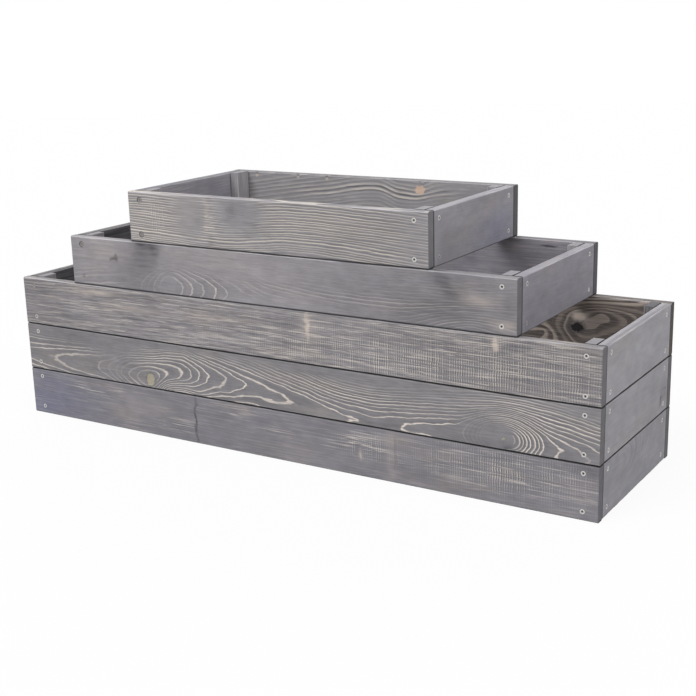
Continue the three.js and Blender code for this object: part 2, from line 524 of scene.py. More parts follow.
        # sizes in mm: along, through and up
        for name, sizes, detail in (
            ("fibre", (26, 1.6, 1.6), 3.0), ("streak", (120, 5.0, 5.0), 4.0),
            ("scuff", (60, 1.6, 1.6), 3.0), ("patch", (130, 45, 45), 2.0), ("blot", (30, 16, 16), 3.0),
        ):
            scale = tuple(1 / size for size in sizes)
            stretched = add(tree, Node.VECTOR, {0: moved, 1: scale}, operation="MULTIPLY")
            grains[name] = add(
                tree, Node.NOISE, {"Vector": stretched, "Scale": 1.0, "Detail": detail, "Roughness": 0.55},
            )
        return grains

    @staticmethod
    def ring_lines(tree: bpy.types.NodeTree, ins: dict, scuff: bpy.types.NodeSocket) -> tuple[tuple, tuple]:
        """Adds the growth rings: a pale rise, a sudden end, and a dark start of the next one with a painted
        shadow.

        Args:
            tree: the wood's tree.
            ins: its input sockets.
            scuff: the fine noise that wears the lines.

        Returns:
            The factors of the pale lines, and those of the dark edges beside them: soaked stain and painted
            shadow.
        """
        turns = add(tree, Node.MATH, {0: ins["Rings"], 1: ins["Spacing"]}, operation="DIVIDE")
        uneven = add(tree, Node.NOISE, {"W": turns, "Scale": 0.41, "Detail": 1.0}, noise_dimensions="1D")
        count = add(tree, Node.MATH, {0: uneven.outputs["Fac"], 1: 1.1, 2: turns}, operation="MULTIPLY_ADD")
        part = add(tree, Node.MATH, {0: count}, operation="FRACT")
        whole = add(tree, Node.MATH, {0: count}, operation="FLOOR")
        own = add(tree, Node.MATH, {0: whole, 1: ins["Seed"]}, operation="ADD")
        chance = add(tree, Node.RANDOM, {"W": own}, noise_dimensions="1D")
        # a ring that runs along the face would smear, so its line is a smaller part of the ring there
        part_width = add(tree, Node.MATH, {0: ins["Steepness"], 1: 0.4, 2: 0.1}, operation="MULTIPLY_ADD")
        width = add(tree, Node.MATH, {0: part_width, 1: ins["Line width"]}, operation="MULTIPLY")
        start = add(tree, Node.MATH, {0: LINE_END, 1: width}, operation="SUBTRACT")
        full = add(tree, Node.MATH, {0: width, 1: -0.4, 2: LINE_END}, operation="MULTIPLY_ADD")
        crossing = add(tree, Node.MATH, {0: ins["Steepness"], 1: 0.8, 2: 0.2}, operation="MULTIPLY_ADD")
        rise, fall, sinking, rising, strength, broken = (
            add(
                tree, Node.RANGE,
                {"Value": value, "From Min": low, "From Max": high, "To Min": least, "To Max": most},
                interpolation_type="SMOOTHSTEP",
            )
            for value, low, high, least, most in (
                (part, start, full, 0.0, 1.0), (part, LINE_END, LINE_END + 0.06, 1.0, 0.0),
                (part, 0.78, 0.88, 0.0, 0.5), (part, 0.0, 0.3, 0.5, 0.0),
                (chance.outputs["Value"], 0.0, 1.0, ins["Least line"], 1.0), (scuff, 0.34, 0.5, 0.5, 1.0),
            )
        )
        hollow = add(tree, Node.MATH, {0: part, 1: 0.5}, operation="LESS_THAN")
        edge = add(
            tree, Node.MIX, {"Factor_Float": hollow, "A_Float": sinking, "B_Float": rising},
            data_type="FLOAT",
        )
        return (rise, fall, strength, broken), (edge, strength, crossing)

    @staticmethod
    def saw_comb(tree: bpy.types.NodeTree, ins: dict, blot: bpy.types.NodeSocket) -> bpy.types.Node:
        """Adds the saw's upright tooth marks, three times as coarse as real ones, so that they show.

        Args:
            tree: the wood's tree.
            ins: its input sockets.
            blot: the noise that bends them.

        Returns:
            The node that swings between -1 in a groove and 1 on a ridge.
        """
        along = add(tree, Node.SPLIT, {0: ins["Position"]})
        bent = add(tree, Node.MATH, {0: blot, 1: 5.0, 2: along.outputs["X"]}, operation="MULTIPLY_ADD")
        teeth = add(tree, Node.MATH, {0: bent, 1: 1 / TOOTH_PITCH}, operation="MULTIPLY")
        # each tooth bit as deep as it stood out from the blade
        tooth = add(tree, Node.MATH, {0: teeth}, operation="FLOOR")
        bite = add(tree, Node.RANDOM, {"W": tooth}, noise_dimensions="1D")
        depth = add(tree, Node.RANGE, {"Value": bite.outputs["Value"], "To Min": 0.25, "To Max": 1.3})
        angle = add(tree, Node.MATH, {0: teeth, 1: 2 * math.pi}, operation="MULTIPLY")
        wave = add(tree, Node.MATH, {0: angle}, operation="SINE")
        return add(tree, Node.MATH, {0: wave, 1: depth}, operation="MULTIPLY")

    @staticmethod
    def edge_masks(
        tree: bpy.types.NodeTree, ins: dict, streak: bpy.types.NodeSocket,
    ) -> list[bpy.types.Node]:
        """Adds what a place near an edge, an end or a joint gets.

        Args:
            tree: the wood's tree.
            ins: its input sockets.
            streak: the noise that makes the worn edges and their painted highlight uneven.

        Returns:
            The nodes that give the eased edges, their wear and painted highlight, the end grain, and the
            light that the joints and the rim keep under their painted shade.
        """
        rest = add(tree, Node.VECTOR, {0: ins["Size"], 1: ins["Position"]}, operation="SUBTRACT")
        inset = add(tree, Node.VECTOR, {0: ins["Position"], 1: rest}, operation="MINIMUM")
        insets = add(tree, Node.SPLIT, {0: inset})
        below_top = add(tree, Node.SPLIT, {0: rest})
        # an eased edge is where the distances to two of the long faces are small
        corner = add(tree, Node.MATH, {0: insets.outputs["Y"], 1: insets.outputs["Z"]}, operation="MAXIMUM")
        # a face with no neighbour is moved 50 mm off, so the least distance left is that to a joint
        off = (50.0, 50.0, 50.0)
        gaps = [
            add(tree, Node.VECTOR, {0: free, 1: off, 2: gap}, operation="MULTIPLY_ADD")
            for free, gap in ((ins["Free low"], ins["Position"]), (ins["Free high"], rest))
        ]
        least_gap = add(tree, Node.VECTOR, {0: gaps[0], 1: gaps[1]}, operation="MINIMUM")
        nearest = add(tree, Node.SPLIT, {0: least_gap})
        joint = add(tree, Node.MATH, {0: nearest.outputs["X"], 1: 0.7}, operation="MULTIPLY")
        for axis in ("Y", "Z"):
            joint = add(tree, Node.MATH, {0: joint, 1: nearest.outputs[axis]}, operation="MINIMUM")
        joint = add(tree, Node.MATH, {0: joint, 1: ins["Grime"]}, operation="DIVIDE")
        # painted shade: the joints are darker, and so is the rim on top
        return [
            add(
                tree, Node.RANGE,
                {"Value": value, "From Min": low, "From Max": high, "To Min": least, "To Max": most},
                interpolation_type="SMOOTHSTEP",
            )
            for value, low, high, least, most in (
                (corner, 2.8, 1.0, 0.0, 1.0), (streak, 0.4, 0.6, 0.2, 0.8),
                (insets.outputs["X"], 0.7, 0.3, 0.0, 1.0), (joint, 0.4, 1.4, 0.1, 1.0),
                (below_top.outputs["Z"], 0.2, 1.8, ins["Rim shade"], 1.0),
            )
        ]


@dataclass(frozen=True)
class StainedSpruce:
    """Spruce board, sawn and brushed, under a grey water stain: matt, with pale latewood lines on grey.

    Attributes:
        tone: the stain's colour on the soft wood.
        line_tint: the colour of the hard latewood lines, which take less stain.
        knot_tint: the colour of the knots' cores.
        spacing: the width of a growth ring, in mm.
        pith_depth: how deep the trunk's middle lies behind the outer face, as (part of the length, mm).
        pith_height: how high it lies above the lower edge, as (part of the length, mm).
        lines: how clearly the growth rings show.
        rub: how many pale scratches run along the fibres.
        saw: how clearly the saw's tooth marks show.
        texture: how streaky and mottled the stain is.
        least_line: how strong the weakest ring lines are, where the strongest are 1.
        line_width: how wide the ring lines are, where 1 is usual.
        end_shade: how much of its colour's light the end grain keeps.
        rim_shade: how much of it the rim on top keeps under painted shade.
        drift: how far the rings stray from a smooth line.
        grime: how wide the painted shade in the joints is, in mm.
        free_low: 1 for each axis whose low face touches no neighbour.
        free_high: the same for the high faces.
        seed: the number that gives the board its own pattern.
        spots: the places where an effect changes.
        knots: the branches in the board.
    """

    tone: str = "#8a888b"
    line_tint: str = "#b9b2aa"
    knot_tint: str = "#5a5350"
    spacing: float = 5.0
    pith_depth: tuple[tuple[float, float], ...] = ((0.0, 40.0), (1.0, 60.0))
    pith_height: tuple[tuple[float, float], ...] = ((0.0, -90.0), (1.0, -110.0))
    lines: float = 0.5
    rub: float = 0.2
    saw: float = 0.0
    texture: float = 1.0
    least_line: float = 0.4
    line_width: float = 1.0
    end_shade: float = 0.6
    rim_shade: float = 1.0
    drift: float = 1.0
    grime: float = 1.6
    free_low: tuple[int, int, int] = (1, 1, 0)
    free_high: tuple[int, int, int] = (1, 1, 1)
    seed: float = 0.0
    spots: tuple[Spot, ...] = ()
    knots: tuple[Knot, ...] = ()

    @staticmethod
    def curve(
        tree: bpy.types.NodeTree, part: bpy.types.Node, points: tuple[tuple[float, float], ...],
    ) -> bpy.types.Node:
        """Adds the nodes that follow a smooth line through some points along the board.

        Args:
            tree: the material's tree.
            part: the node that gives the part of the length.
            points: the line's points, as (part of the length, mm).

        Returns:
            The node that gives the line's height in mm.
        """
        # the curve runs from 0 to 1, for these heights in mm
        low, high = -400.0, 500.0
        bend = add(tree, Node.CURVE, {"Value": part})
        mapped = bend.mapping.curves[0]
        for index, (along, value) in enumerate(points):
            spot = (along, (value - low) / (high - low))
            if index < 2:
                mapped.points[index].location = spot
            else:
                mapped.points.new(*spot)
        for point in mapped.points:
            point.handle_type = "AUTO_CLAMPED"
        bend.mapping.update()
        return add(tree, Node.MATH, {0: bend, 1: high - low, 2: low}, operation="MULTIPLY_ADD")

    def material(self, name: str, nodes: SpruceNodes, place: Matrix, size: Vector) -> bpy.types.Material:
        """Makes this board's own material.

        Args:
            name: the piece that it is for.
            nodes: the node groups of the wood.
            place: where the board's own corner is, and how it is turned, in metres.
            size: the board's length, thickness and height, in metres.

        Returns:
            The material.
        """
        material, tree = new_material(f"stained_sawn_spruce_{name}")
        coordinates = add(tree, Node.PLACE)
        position = add(
            tree, Node.MAPPING,
            {
                "Vector": coordinates.outputs["Object"], "Location": place.to_translation(),
                "Rotation": place.to_euler(), "Scale": (MM, MM, MM),
            },
            vector_type="TEXTURE",
        )
        # stains and knots have ragged edges: their places wander by some millimetres along and up
        wandered = []
        for scale, detail, along, up in ((0.045, 3.0, 22.0, 9.0), (0.16, 2.0, 11.0, 11.0)):
            noise = add(tree, Node.NOISE, {"Vector": position, "Scale": scale, "Detail": detail})
            swings = {1: (along, 0.0, up), 2: (-along / 2, 0.0, -up / 2)}
            stray = add(tree, Node.VECTOR, {0: noise.outputs["Color"], **swings}, operation="MULTIPLY_ADD")
            wandered.append(add(tree, Node.VECTOR, {0: position, 1: stray}, operation="ADD"))
        loose, fringed = wandered
        lengthwise = add(tree, Node.SPLIT, {0: position})
        part = add(tree, Node.MATH, {0: lengthwise, 1: size.x / MM}, operation="DIVIDE")
        rings = add(
            tree, Node.GROUP,
            {
                "Position": position, "Pith height": self.curve(tree, part, self.pith_height),
                "Pith depth": self.curve(tree, part, self.pith_depth), "Drift": self.drift,
                "Seed": self.seed,
            },
            node_tree=nodes.rings,
        )
        steepness = rings.outputs["Steepness"]
        core, rim = 0.0, 0.0
        for knot in self.knots:
            step = add(
                tree, Node.GROUP,
                {
                    "Rings": rings, "Steepness": steepness, "Core": core, "Rim": rim, "Position": position,
                    "Loose position": fringed, "Centre": (knot.along, 0.0, knot.up),
                    "Radii": (knot.length, FAR, knot.height),
                    "Sweep radii": (knot.sweep_length, FAR, knot.sweep_height), "Sweep": knot.sweep,
                    "Strength": knot.core, "Edge": knot.rim,
                },
                node_tree=nodes.knot,
            )
            rings, steepness = step.outputs["Rings"], step.outputs["Steepness"]
            core, rim = step.outputs["Core"], step.outputs["Rim"]
        amounts = {
            Effect.LINES: self.lines, Effect.RUB: self.rub, Effect.SAW: self.saw, Effect.DARK: 0.0,
            Effect.PALE: 0.0, Effect.BLUE: 0.0, Effect.TEXTURE: self.texture,
        }
        # spots as hard as this keep their exact shape, the others are ragged
        clear_edge = 5
        for spot in self.spots:
            amounts[spot.effect] = add(
                tree, Node.GROUP,
                {
                    "Before": amounts[spot.effect],
                    "Position": loose if spot.hardness < clear_edge else position,
                    "Centre": (spot.along, spot.depth, spot.up),
                    "Radii": (spot.length, spot.reach, spot.height), "Amount": spot.amount,
                    "Hardness": spot.hardness, "Lean": spot.lean,
                },
                node_tree=nodes.spot,
            )
        wood = add(
            tree, Node.GROUP,
            {
                "Position": position, "Size": size / MM, "Rings": rings, "Steepness": steepness,
                "Spacing": self.spacing, "Seed": self.seed, "Tone": linear(self.tone),
                "Line tint": linear(self.line_tint), "Knot tint": linear(self.knot_tint), "Core": core,
                "Rim": rim, "Least line": self.least_line, "Line width": self.line_width,
                "End shade": self.end_shade, "Rim shade": self.rim_shade, "Grime": self.grime,
                "Free low": self.free_low, "Free high": self.free_high,
                **{effect.value: amount for effect, amount in amounts.items()},
            },
            node_tree=nodes.wood,
        )
        bump = add(tree, Node.BUMP, {"Height": wood.outputs["Height"], "Distance": MM, "Strength": 0.7})
        surface = add(
            tree, Node.SURFACE,
            {
                "Base Color": wood.outputs["Color"], "Roughness": wood.outputs["Roughness"], "Normal": bump,
                "Specular IOR Level": 0.3,
            },
        )
        add(tree, "ShaderNodeOutputMaterial", {"Surface": surface})
        return material


@dataclass(frozen=True)
class ZincPlatedSteel:
    """Pressed steel screw, zinc plated: a soft near-white shine, with painted shade in the recess.

    Attributes:
        bright: the plating's colour.
        dull: its colour where it is handled and clouded.
        recess: the colour of the painted shade in the driver recess.
        stained: the colour of the screws that were stained over with the boards.
        stained_left: the places along the bed between which that fades in, in metres.
        stained_high: the heights between which it fades in, in metres.
    """

    bright: str = "#f7f6f4"
    dull: str = "#c4c1bc"
    recess: str = "#2c2a28"
    stained: str = "#9b9794"
    stained_left: tuple[float, float] = (-0.2, -0.3)
    stained_high: tuple[float, float] = (0.19, 0.29)

    def material(self) -> bpy.types.Material:
        """Makes the material, which reads the screws' own recess attribute.

        Returns:
            The material.
        """
        material, tree = new_material("zinc_plated_steel_screw")
        coordinates = add(tree, Node.PLACE)
        # clouding about 2 mm across on the plating
        cloud = add(
            tree, Node.NOISE, {"Vector": coordinates.outputs["Object"], "Scale": 420.0, "Detail": 3.0},
        )
        clouded = add(
            tree, Node.MIX,
            {
                "Factor_Float": cloud.outputs["Fac"], "A_Color": linear(self.bright),
                "B_Color": linear(self.dull),
            },
            data_type="RGBA",
        )
        # the screws high up at the left were stained over
        place = add(tree, Node.SPLIT, {0: coordinates.outputs["Object"]})
        left, high = (
            add(tree, Node.RANGE, {"Value": place.outputs[axis], "From Min": low, "From Max": full})
            for axis, (low, full) in (("X", self.stained_left), ("Z", self.stained_high))
        )
        both = add(tree, Node.MATH, {0: left, 1: high}, operation="MULTIPLY")
        coated = add(
            tree, Node.MIX, {"Factor_Float": both, "A_Color": clouded, "B_Color": linear(self.stained)},
            data_type="RGBA",
        )
        # stain fills the recesses of those, so their painted shade is weaker
        depth = add(tree, "ShaderNodeAttribute", attribute_name="recess")
        clear = add(tree, Node.RANGE, {"Value": both, "To Min": 1.0, "To Max": 0.35})
        recess_shade = add(tree, Node.MATH, {0: depth.outputs["Fac"], 1: clear}, operation="MULTIPLY")
        recess_shaded = add(
            tree, Node.MIX, {"Factor_Float": recess_shade, "A_Color": coated, "B_Color": linear(self.recess)},
            data_type="RGBA",
        )
        rough = add(tree, Node.RANGE, {"Value": cloud.outputs["Fac"], "To Min": 0.3, "To Max": 0.55})
        bump = add(
            tree, Node.BUMP, {"Height": cloud.outputs["Fac"], "Distance": 0.05 * MM, "Strength": 0.5},
        )
        surface = add(
            tree, Node.SURFACE, {"Base Color": recess_shaded, "Roughness": rough, "Normal": bump, "Metallic": 1.0},
        )
        add(tree, "ShaderNodeOutputMaterial", {"Surface": surface})
        return material


def run_tree(
    name: str, tree: bpy.types.NodeTree, values: dict, start: bpy.types.Mesh | None = None,
) -> bpy.types.Object:
    """Runs a Geometry Nodes tree once and keeps the result as a plain mesh.

    Args:
        name: the new piece's name.
        tree: the tree to run.
        values: the tree's inputs, by name.
        start: the mesh that the tree starts from, where it needs one.

    Returns:
        The piece, with no modifier left on it.
    """
    piece = put(name, start or bpy.data.meshes.new(name))
    modifier = piece.modifiers.new("shape", "NODES")
    modifier.node_group = tree
    for item in tree.interface.items_tree:
        if item.item_type == "SOCKET" and item.name in values:
            modifier[item.identifier] = values[item.name]
    bpy.context.view_layer.update()
    done = piece.evaluated_get(bpy.context.evaluated_depsgraph_get())
    mesh = bpy.data.meshes.new_from_object(done)
    piece.modifiers.remove(modifier)
    piece.data = mesh
    mesh.name = name
    return piece


@dataclass(frozen=True)
class ScrewSizes:
    """The countersunk wood screw and its hole, in mm.

    Attributes:
        head: the head's width.
        sink: how deep the head lies under the board's face.
        rim: the height of the head's edge.
        cone: the height of the cone below it.
        shank: the shank's width.
        length: from the board's face to the screw's point.
        point: the length that tapers to the point.
        recess: the width of the driver's cross.
        recess_floor: its width at the bottom.
        recess_depth: how deep it is.
        arm: half the width of one of its arms.
        hole: from the middle of the countersink to its edge, in the board's face.
        clearance: the space round the shank in its bore.
    """

    head: float = 8.6
    sink: float = 0.4
    rim: float = 0.25
    cone: float = 2.0
    shank: float = 4.0
    length: float = 35.0
    point: float = 6.0
    recess: float = 4.4
    recess_floor: float = 2.0
    recess_depth: float = 1.7
    arm: float = 0.8
    hole: float = 5.0
    clearance: float = 0.3


class BedShapes:
    """The Geometry Nodes trees of the bed's repeated pieces."""

    def __init__(self, screw: ScrewSizes) -> None:
        """Makes the trees and the screw that one of them repeats.

        Args:
            screw: the sizes of the screws and their holes.
        """
        self.sizes = screw
        self.board = self.board_tree()
        self.screws = self.screw_tree()
        self.pattern = self.screw_pattern()

    def board_tree(self) -> bpy.types.NodeTree:
        """Makes the tree of one board or batten: a sawn bar with eased, worn edges and screw holes.

        Returns:
            The tree.
        """
        tree, ins = open_group(
            "eased board", "GeometryNodeTree",
            {
                "Length": "Float", "Thickness": "Float", "Height": "Float", "Edge radius": "Float",
                "Wear": "Float", "Seed": "Float", "Screw end inset": "Float", "Screw edge inset": "Float",
                "Screwed": "Bool", "Place": "Vector", "Turn": "Vector", "Finish": "Material",
            },
            {"Geometry": "Geometry"},
        )
        half_thick = add(tree, Node.MATH, {0: ins["Thickness"], 1: 0.5}, operation="MULTIPLY")
        half_high = add(tree, Node.MATH, {0: ins["Height"], 1: 0.5}, operation="MULTIPLY")
        far_end = add(tree, Node.JOIN, {0: ins["Length"]})
        line = add(tree, "GeometryNodeCurvePrimitiveLine", {"End": far_end})
        # a cross-section each 4 mm, so that wear can nick the edges
        fine = add(tree, "GeometryNodeResampleCurve", {"Curve": line, "Length": 4 * MM}, mode="LENGTH")
        section = add(
            tree, "GeometryNodeCurvePrimitiveQuadrilateral",
            {"Width": ins["Thickness"], "Height": ins["Height"]},
        )
        # four facets round each eased edge
        eased = add(
            tree, "GeometryNodeFilletCurve", {"Curve": section, "Count": 4, "Radius": ins["Edge radius"]},
            mode="POLY",
        )
        bar = add(
            tree, "GeometryNodeCurveToMesh", {"Curve": fine, "Profile Curve": eased, "Fill Caps": True},
        )
        # wear bites into the rounded edges only, where the place lies in both edge zones
        spot = add(tree, "GeometryNodeInputPosition")
        parts = add(tree, Node.SPLIT, {0: spot})
        bites = []
        for name, half in (("Y", half_thick), ("Z", half_high)):
            size = add(tree, Node.MATH, {0: parts.outputs[name]}, operation="ABSOLUTE")
            to_face = add(tree, Node.MATH, {0: half, 1: size}, operation="SUBTRACT")
            near = add(tree, Node.MATH, {0: to_face, 1: ins["Edge radius"]}, operation="DIVIDE")
            bites.append(add(tree, Node.MATH, {0: 1.0, 1: near}, operation="SUBTRACT", use_clamp=True))
        bite = add(tree, Node.MATH, {0: bites[0], 1: bites[1]}, operation="MULTIPLY")
        # the nicks are some 17 mm long, and each edge has its own
        stretched = add(tree, Node.VECTOR, {0: spot, 1: (60.0, 45.0, 12.0)}, operation="MULTIPLY")
        rough = add(
            tree, Node.NOISE, {"Vector": stretched, "W": ins["Seed"], "Scale": 1.0, "Detail": 3.0},
            noise_dimensions="4D",
        )
        nick = add(
            tree, Node.RANGE,
            {"Value": rough.outputs["Fac"], "From Min": 0.42, "From Max": 0.72, "To Min": 0.12},
        )
        depth = add(tree, Node.MATH, {0: bite, 1: nick}, operation="MULTIPLY")
        worn_by = add(tree, Node.MATH, {0: depth, 1: ins["Wear"]}, operation="MULTIPLY")
        way = add(tree, Node.VECTOR, {0: spot}, operation="SIGN")
        # 1.4 makes the deepest bite, in the middle of the rounding, as deep as the wear says
        inward = add(tree, Node.VECTOR, {0: way, 1: (0.0, -1.4, -1.4)}, operation="MULTIPLY")
        move = add(tree, Node.VECTOR, {0: inward, "Scale": worn_by}, operation="SCALE")
        worn = add(tree, "GeometryNodeSetPosition", {"Geometry": bar, "Offset": move})
        # only the rounded edges are shaded smooth
        facing = add(tree, Node.SPLIT, {0: add(tree, "GeometryNodeInputNormal")})
        tilt = add(tree, Node.MATH, {0: facing.outputs["Y"], 1: facing.outputs["Z"]}, operation="MULTIPLY")
        tilted = add(tree, Node.MATH, {0: tilt}, operation="ABSOLUTE")
        rounded = add(tree, Node.MATH, {0: tilted, 1: 0.02}, operation="GREATER_THAN")
        smooth = add(tree, "GeometryNodeSetShadeSmooth", {"Geometry": worn, "Shade Smooth": rounded})
        to_corner = add(tree, Node.JOIN, {0: 0.0, 1: half_thick, 2: half_high})
        seated = add(tree, "GeometryNodeTransform", {"Geometry": smooth, "Translation": to_corner})
        drilled = self.drill(tree, ins, seated)
        chosen = add(
            tree, "GeometryNodeSwitch", {"Switch": ins["Screwed"], "False": seated, "True": drilled},
            input_type="GEOMETRY",
        )
        placed = add(
            tree, "GeometryNodeTransform",
            {"Geometry": chosen, "Translation": ins["Place"], "Rotation": ins["Turn"]},
        )
        real = add(tree, "GeometryNodeRealizeInstances", {"Geometry": placed})
        dressed = add(tree, "GeometryNodeSetMaterial", {"Geometry": real, "Material": ins["Finish"]})
        add(tree, "NodeGroupOutput", {"Geometry": dressed})
        return tree

    def drill(self, tree: bpy.types.NodeTree, ins: dict, board: bpy.types.Node) -> bpy.types.Node:
        """Adds the nodes that cut a countersunk hole near each corner of a board's outer face.

        Args:
            tree: the board's tree.
            ins: the tree's input sockets.
            board: the node that gives the whole board.

        Returns:
            The node that gives the drilled board.
        """
        # mm: the countersink is cut from above the face, and the bore passes right through
        over, bore_depth = 1.0, 60.0
        facets = 32
        wide = self.sizes.hole + over
        narrow = self.sizes.shank / 2 + self.sizes.clearance
        deep = wide - narrow
        sink = add(
            tree, "GeometryNodeMeshCone",
            {"Vertices": facets, "Radius Top": wide * MM, "Radius Bottom": narrow * MM, "Depth": deep * MM},
        )
        bore = add(
            tree, "GeometryNodeMeshCylinder",
            {"Vertices": facets, "Radius": narrow * MM, "Depth": bore_depth * MM},
        )
        sunk = add(
            tree, "GeometryNodeTransform",
            {"Geometry": sink, "Translation": (0.0, 0.0, (over - deep) * MM)},
        )
        spans = []
        for size, inset in (("Length", "Screw end inset"), ("Height", "Screw edge inset")):
            twice = add(tree, Node.MATH, {0: ins[inset], 1: 2.0}, operation="MULTIPLY")
            spans.append(add(tree, Node.MATH, {0: ins[size], 1: twice}, operation="SUBTRACT"))
        grid = add(
            tree, "GeometryNodeMeshGrid",
            {"Size X": spans[0], "Size Y": spans[1], "Vertices X": 2, "Vertices Y": 2},
        )
        half_long = add(tree, Node.MATH, {0: ins["Length"], 1: 0.5}, operation="MULTIPLY")
        half_high = add(tree, Node.MATH, {0: ins["Height"], 1: 0.5}, operation="MULTIPLY")
        middle = add(tree, Node.JOIN, {0: half_long, 1: 0.0, 2: half_high})
        upright = add(
            tree, "GeometryNodeTransform",
            {"Geometry": grid.outputs["Mesh"], "Translation": middle, "Rotation": (QUARTER, 0.0, 0.0)},
        )
        cuts = board
        for tool in (sunk, bore):
            holes = add(
                tree, "GeometryNodeInstanceOnPoints",
                {"Points": upright, "Instance": tool, "Rotation": (QUARTER, 0.0, 0.0)},
            )
            solid = add(tree, "GeometryNodeRealizeInstances", {"Geometry": holes})
            cuts = add(
                tree, "GeometryNodeMeshBoolean", {"Mesh 1": cuts, "Mesh 2": solid}, operation="DIFFERENCE",
                solver="EXACT",
            )
        return cuts

    @staticmethod
    def screw_tree() -> bpy.types.NodeTree:
        """Makes the tree that sets one screw on each point, by the point's own direction and turn.

        Returns:
            The tree.
        """
        tree, ins = open_group(
            "screw set", "GeometryNodeTree",
            {"Points": "Geometry", "Screw": "Object", "Finish": "Material"}, {"Geometry": "Geometry"},
        )
        outward = add(
            tree, "GeometryNodeInputNamedAttribute", {"Name": "outward"}, data_type="FLOAT_VECTOR",
        )
        spin = add(tree, "GeometryNodeInputNamedAttribute", {"Name": "spin"}, data_type="FLOAT")
        about = add(tree, "FunctionNodeAxisAngleToRotation", {"Axis": (0.0, 0.0, 1.0), "Angle": spin})
        aimed = add(tree, "FunctionNodeAlignRotationToVector", {"Vector": outward}, axis="Z")
        turned = add(
            tree, "FunctionNodeRotateRotation", {"Rotation": aimed, "Rotate By": about},
            rotation_space="LOCAL",
        )
        screw = add(tree, "GeometryNodeObjectInfo", {"Object": ins["Screw"]})
        placed = add(
            tree, "GeometryNodeInstanceOnPoints",
            {"Points": ins["Points"], "Instance": screw.outputs["Geometry"], "Rotation": turned},
        )
        real = add(tree, "GeometryNodeRealizeInstances", {"Geometry": placed})
        dressed = add(tree, "GeometryNodeSetMaterial", {"Geometry": real, "Material": ins["Finish"]})
        add(tree, "NodeGroupOutput", {"Geometry": dressed})
        return tree

    def screw_pattern(self) -> bpy.types.Object:
        """Makes the one screw that is repeated: it points down, and the board's face is at height 0.

        Returns:
            The screw, which main removes once the tiers are built.
        """
        s = self.sizes
        mesh = bpy.data.meshes.new("screw_pattern")
        shape = bmesh.new()
        recess_shade = shape.verts.layers.float.new("recess")
        sides = 24

        def ring(radius: float, height: float) -> list[bmesh.types.BMVert]:
            """Adds a circle of points.

            Args:
                radius: its size, in mm.
                height: its height, in mm.

            Returns:
                The points.
            """
            return [
                shape.verts.new(
                    (
                        radius * MM * math.cos(2 * math.pi * i / sides),
                        radius * MM * math.sin(2 * math.pi * i / sides), height * MM,
                    )
                )
                for i in range(sides)
            ]

        def cross(radius: float, arm: float, height: float, grime: float) -> list[bmesh.types.BMVert]:
            """Adds the outline of the driver's cross.

            Args:
                radius: how far its arms reach, in mm.
                arm: half their width, in mm.
                height: its height, in mm.
                grime: how much painted shade lies there, from 0 to 1.

            Returns:
                The points.
            """
            points = []
            for turn in range(4):
                angle = turn * QUARTER
                for x, y in ((radius, -arm), (radius, arm), (arm, arm)):
                    point = shape.verts.new(
                        (
                            MM * (x * math.cos(angle) - y * math.sin(angle)),
                            MM * (x * math.sin(angle) + y * math.cos(angle)), height * MM,
                        )
                    )
                    point[recess_shade] = grime
                    points.append(point)
            return points

        def wall(upper: list[bmesh.types.BMVert], lower: list[bmesh.types.BMVert]) -> None:
            """Joins two loops with the same count of points by faces.

            Args:
                upper: the one loop.
                lower: the other one, below it.
            """
            for i in range(len(upper)):
                j = (i + 1) % len(upper)
                shape.faces.new((upper[i], upper[j], lower[j], lower[i]))

        face, blunt = -s.sink, 0.3
        # down the screw, as (radius, height): rounded rim, cone, shank and blunt point
        profile = (
            (s.head / 2 - 0.35, face), (s.head / 2 - 0.1, face - 0.06), (s.head / 2, face - s.rim),
            (s.shank / 2, face - s.rim - s.cone), (s.shank / 2, s.point - s.length),
            (blunt, blunt - s.length),
        )
        rings = [ring(radius, height) for radius, height in profile]
        for upper, lower in zip(rings, rings[1:]):
            wall(upper, lower)
        shape.faces.new(rings[-1])
        # the recess narrows towards its floor, where the painted shade is darkest
        mouth = cross(s.recess / 2, s.arm, face, 0.5)
        floor = cross(s.recess_floor / 2, s.arm * 0.55, face - s.recess_depth, 1.0)
        wall(mouth, floor)
        shape.faces.new(floor)
        # the head's face is what lies between its rim and the recess
        loops = []
        for points in (rings[0], mouth):
            for i in range(len(points)):
                loops.append(shape.edges.get((points[i], points[(i + 1) % len(points)])))
        bmesh.ops.triangle_fill(shape, edges=loops, use_beauty=True)
        bmesh.ops.recalc_face_normals(shape, faces=shape.faces[:])
        # the level faces are shaded flat
        for polygon in shape.faces:
            polygon.smooth = polygon.calc_area() > 0 and abs(polygon.normal.z) < 0.95
        shape.to_mesh(mesh)
        shape.free()
        mesh.set_sharp_from_angle(angle=math.radians(40))
        return put("screw_pattern", mesh)


